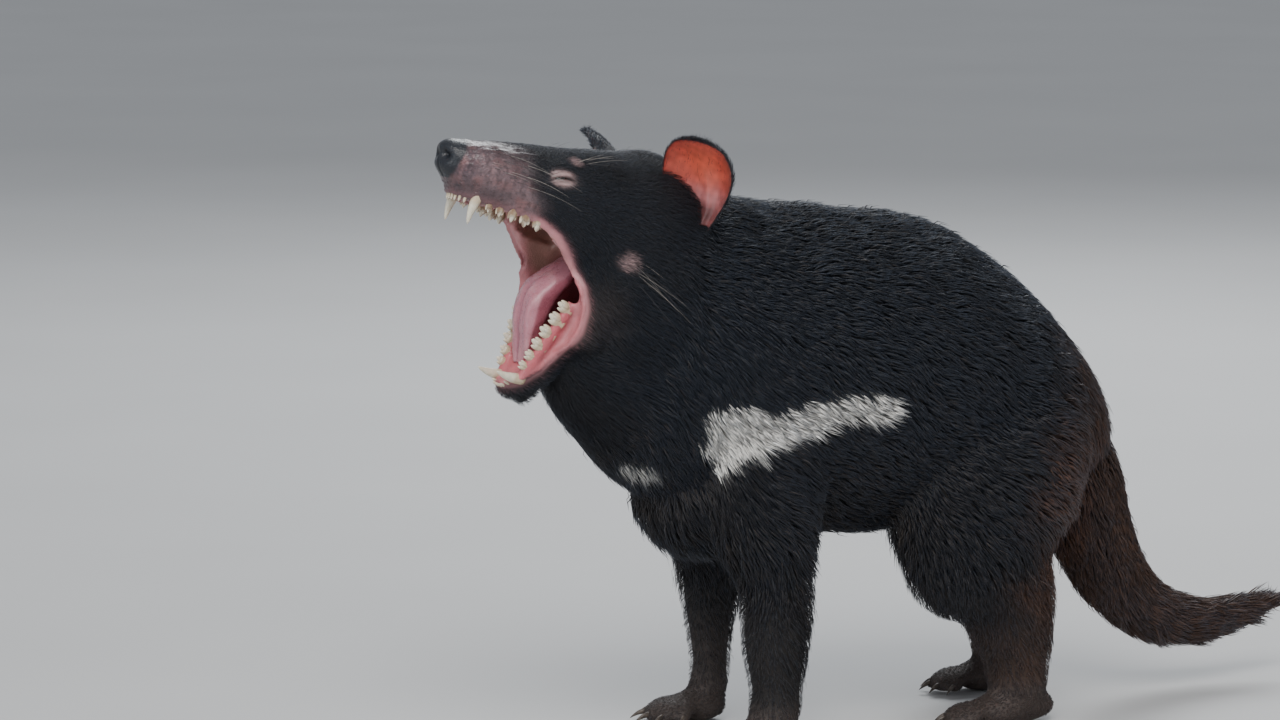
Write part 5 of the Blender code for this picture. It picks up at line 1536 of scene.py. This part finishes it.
def claws():
    """Every claw, joined."""
    bm = bmesh.new()
    for side in (1, -1):
        for centre, toes, reach, length in ((forepaw_centre(side), FORE_TOES, 0.014, 0.0075),
                                            (hindpaw_centre(side), HIND_TOES, 0.015, 0.0060)):
            for angle, run in toes:
                ahead = (toe_root(centre, angle, 1.0) - centre).normalized()
                end = toe_root(centre, angle, reach + run)
                root = Vector((end.x, end.y, NAIL_HEIGHT)) - ahead * 0.003
                tip = root + ahead * (0.005 + length) - Vector((0.0, 0.0, CLAW_DROP))
                cone(bm, root, tip, ahead.cross(Vector((0.0, 0.0, 1.0))), CLAW_HALF_WIDTH, CLAW_HALF_DEPTH,
                     Vector((0.0, 0.0, CLAW_BOW)), 0.10, 12, 12)
    made = new_object("claws", bm)
    made.data.shade_smooth()
    return made


horn, nodes, links = shader_nodes("claw_horn")
shader = nodes["Principled BSDF"]
place = node(nodes, "ShaderNodeTexCoord")
streaks = node(nodes, "ShaderNodeTexNoise", Scale=420.0, Detail=3.0)
links.new(place.outputs["Object"], streaks.inputs["Vector"])
shade = node(nodes, "ShaderNodeValToRGB")
shade.color_ramp.elements[0].position, shade.color_ramp.elements[1].position = 0.35, 0.72
shade.color_ramp.elements[0].color = (0.040, 0.031, 0.026, 1.0)
shade.color_ramp.elements[1].color = (0.150, 0.120, 0.098, 1.0)
links.new(streaks.outputs["Fac"], shade.inputs["Fac"])
links.new(shade.outputs["Color"], shader.inputs["Base Color"])
shader.inputs["Roughness"].default_value = 0.38
claw_set = claws()
claw_set.data.materials.append(horn)
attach(claw_set, "root")


# Eyes: glass balls, near black clouded with dark brown, set in the head behind lids that are almost shut.
dark_glass, nodes, links = shader_nodes("eye_dark_glass")
shader = nodes["Principled BSDF"]
place = node(nodes, "ShaderNodeTexCoord")
rays = node(nodes, "ShaderNodeTexNoise", Scale=900.0, Detail=2.0)
links.new(place.outputs["Object"], rays.inputs["Vector"])
shade = node(nodes, "ShaderNodeValToRGB")
shade.color_ramp.elements[0].color = (0.004, 0.003, 0.003, 1.0)
shade.color_ramp.elements[1].color = (0.030, 0.016, 0.009, 1.0)
links.new(rays.outputs["Fac"], shade.inputs["Fac"])
links.new(shade.outputs["Color"], shader.inputs["Base Color"])
shader.inputs["Roughness"].default_value = 0.06
shader.inputs["Coat Weight"].default_value = 1.0
shader.inputs["Coat Roughness"].default_value = 0.02
for eye_name in ("eye_left", "eye_right"):
    for slot in frame["nodes"][eye_name].material_slots:
        slot.material = dark_glass


# Whiskers: stiff pale and dark hairs, in rows along both sides of the muzzle, in a tuft on each cheek
# and over each eye. Each is a fine tapered thread rooted in the skin.
THREAD_RINGS = 12
THREAD_SIDES = 5
THREAD_HALF = 0.00013
ROW_GAP = 3.6
PALE_THREAD = (0.30, 0.27, 0.24)
DARK_THREAD = (0.05, 0.045, 0.045)
# Columns: (forward, left, up) of the bed's two ends, rows, hairs a row, length,
# the way they grow as (forward, left, up), droop and the share that is pale
WHISKER_BEDS = [
    ((112.0, 9.0, 4.0), (84.0, 20.0, 0.0), 3, 6, 32.0, (-0.70, 0.70, 0.02), 0.20, 0.30),
    ((22.0, 52.0, -24.0), (14.0, 54.0, -34.0), 3, 4, 46.0, (-0.86, 0.36, -0.36), 0.14, 0.6),
    ((60.0, 26.0, 21.0), (52.0, 27.0, 22.0), 2, 3, 30.0, (-0.72, 0.42, 0.52), 0.12, 0.4),
]


def whiskers():
    """Every whisker, joined, from its bed on the skin's own surface."""
    rng = np.random.default_rng(77)
    search = KDTree(len(skin_places))
    for index, spot in enumerate(skin_places):
        search.insert(spot, index)
    search.balance()
    turn = HEAD.to_3x3() * 1000.0
    steps = np.linspace(0.0, 1.0, THREAD_RINGS)
    turns = np.arange(THREAD_SIDES) * 2 * math.pi / THREAD_SIDES
    thin = THREAD_HALF * (1.0 - 0.86 * steps) + 0.00002
    per = THREAD_RINGS * THREAD_SIDES
    pattern = [(0, k + 1, k) for k in range(1, THREAD_SIDES - 1)]
    pattern += [(per - THREAD_SIDES, per - THREAD_SIDES + k, per - THREAD_SIDES + k + 1)
                for k in range(1, THREAD_SIDES - 1)]
    for a in range(per - THREAD_SIDES):
        b = a + 1 if (a + 1) % THREAD_SIDES else a + 1 - THREAD_SIDES
        pattern += [(a, b, a + THREAD_SIDES), (b, b + THREAD_SIDES, a + THREAD_SIDES)]
    points, hues = [], []
    for first, last, rows, hairs, length, way, droop, pale in WHISKER_BEDS:
        for side, row, place in ((s, r, h) for s in (1, -1) for r in range(rows) for h in range(hairs)):
            t = (place + 0.5 + 0.5 * rng.uniform(-0.6, 0.6)) / hairs
            at = [first[k] + (last[k] - first[k]) * t for k in range(3)]
            at[2] += (row - (rows - 1) / 2.0) * -ROW_GAP + rng.uniform(-0.6, 0.6)
            root = np.array(search.find(HEAD @ Vector((at[0], side * at[1], at[2])))[0])
            astray = rng.normal(0.0, 0.11, 3)
            heading = Vector((way[0] + astray[0], side * (way[1] + abs(astray[1])), way[2] + astray[2]))
            heading = np.array((turn @ heading).normalized())
            reach = length / 1000 * rng.uniform(0.55, 1.1) * (0.65 + 0.5 * t)
            run = root + heading * (reach * steps - 0.001)[:, None]
            run = run + np.array((0.25, 0.0, -1.0)) * (reach * droop * steps ** 2.2)[:, None]
            up = unit(np.cross(heading, (0.0, 0.0, 1.0))[None])
            ring = up * np.cos(turns)[:, None] + np.cross(up, heading) * np.sin(turns)[:, None]
            points.append((run[:, None] + ring[None] * thin[:, None, None]).reshape(-1, 3))
            hue = PALE_THREAD if rng.uniform() < pale else DARK_THREAD
            hues.append(np.tile(np.array(hue) * rng.uniform(0.8, 1.2), (per, 1)))
    faces = (np.array(pattern)[None] + (np.arange(len(points)) * per)[:, None, None]).reshape(-1, 3)
    made = mesh_of("whiskers", np.concatenate(points), faces)
    paint(made.data, np.concatenate(hues), np.ones(len(points) * per))
    return made


whisker_set = whiskers()
whisker_set.data.materials.append(hair)
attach(whisker_set, "root")

# Camera, lamps, world and floor: the photo's view, in soft studio light over a plain pale floor.
POS = Vector((-1.7505415, -2.95946872, 0.70805942))
right = Vector((0.88294759, -0.46947156, 0.0))
ahead = Vector((0.4649027, 0.87435481, -0.1391731))
upward = Vector((0.06533781, 0.12288255, 0.99026807))
eye_data = bpy.data.cameras.new("view")
eye_data.sensor_width = 36.0
eye_data.lens = 157.5
view = bpy.data.objects.new("view", eye_data)
view.matrix_world = Matrix.Translation(POS) @ Matrix((right, upward, -ahead)).transposed().to_4x4()
bpy.context.scene.collection.objects.link(view)
bpy.context.scene.camera = view
aim = Vector((-0.03, 0.0, 0.18))
for name, place, size, watts, tint in (("key", (-0.9, -1.5, 2.0), 1.4, 46.0, (1.0, 0.97, 0.93)),
                                       ("fill", (-2.6, -1.0, 0.9), 1.8, 18.0, (0.90, 0.95, 1.0)),
                                       ("back", (1.2, 1.6, 1.7), 1.2, 40.0, (0.95, 0.98, 1.0))):
    data = bpy.data.lights.new(name, "AREA")
    data.size = size
    data.energy = watts
    data.color = tint
    lamp = bpy.data.objects.new(name, data)
    facing = (Vector(place) - aim).to_track_quat("Z", "Y").to_matrix().to_4x4()
    lamp.matrix_world = Matrix.Translation(place) @ facing
    bpy.context.scene.collection.objects.link(lamp)

world = bpy.data.worlds.new("studio")
world.use_nodes = True
world.node_tree.nodes["Background"].inputs["Color"].default_value = (0.80, 0.84, 0.90, 1.0)
world.node_tree.nodes["Background"].inputs["Strength"].default_value = 0.55
bpy.context.scene.world = world

bm = bmesh.new()
bmesh.ops.create_grid(bm, x_segments=2, y_segments=2, size=6.0)
floor = new_object("floor", bm)
floor.data.transform(Matrix.Translation((0.0, 0.0, -0.0004)))
stone, nodes, links = shader_nodes("floor")
where = nodes.new("ShaderNodeTexCoord")
grain = node(nodes, "ShaderNodeTexNoise", Scale=3.0)
shade = node(nodes, "ShaderNodeMapRange", To_Min=0.50, To_Max=0.56)
links.new(where.outputs["Object"], grain.inputs["Vector"])
links.new(grain.outputs["Fac"], shade.inputs["Value"])
links.new(shade.outputs["Result"], nodes["Principled BSDF"].inputs["Base Color"])
nodes["Principled BSDF"].inputs["Roughness"].default_value = 0.7
floor.data.materials.append(stone)
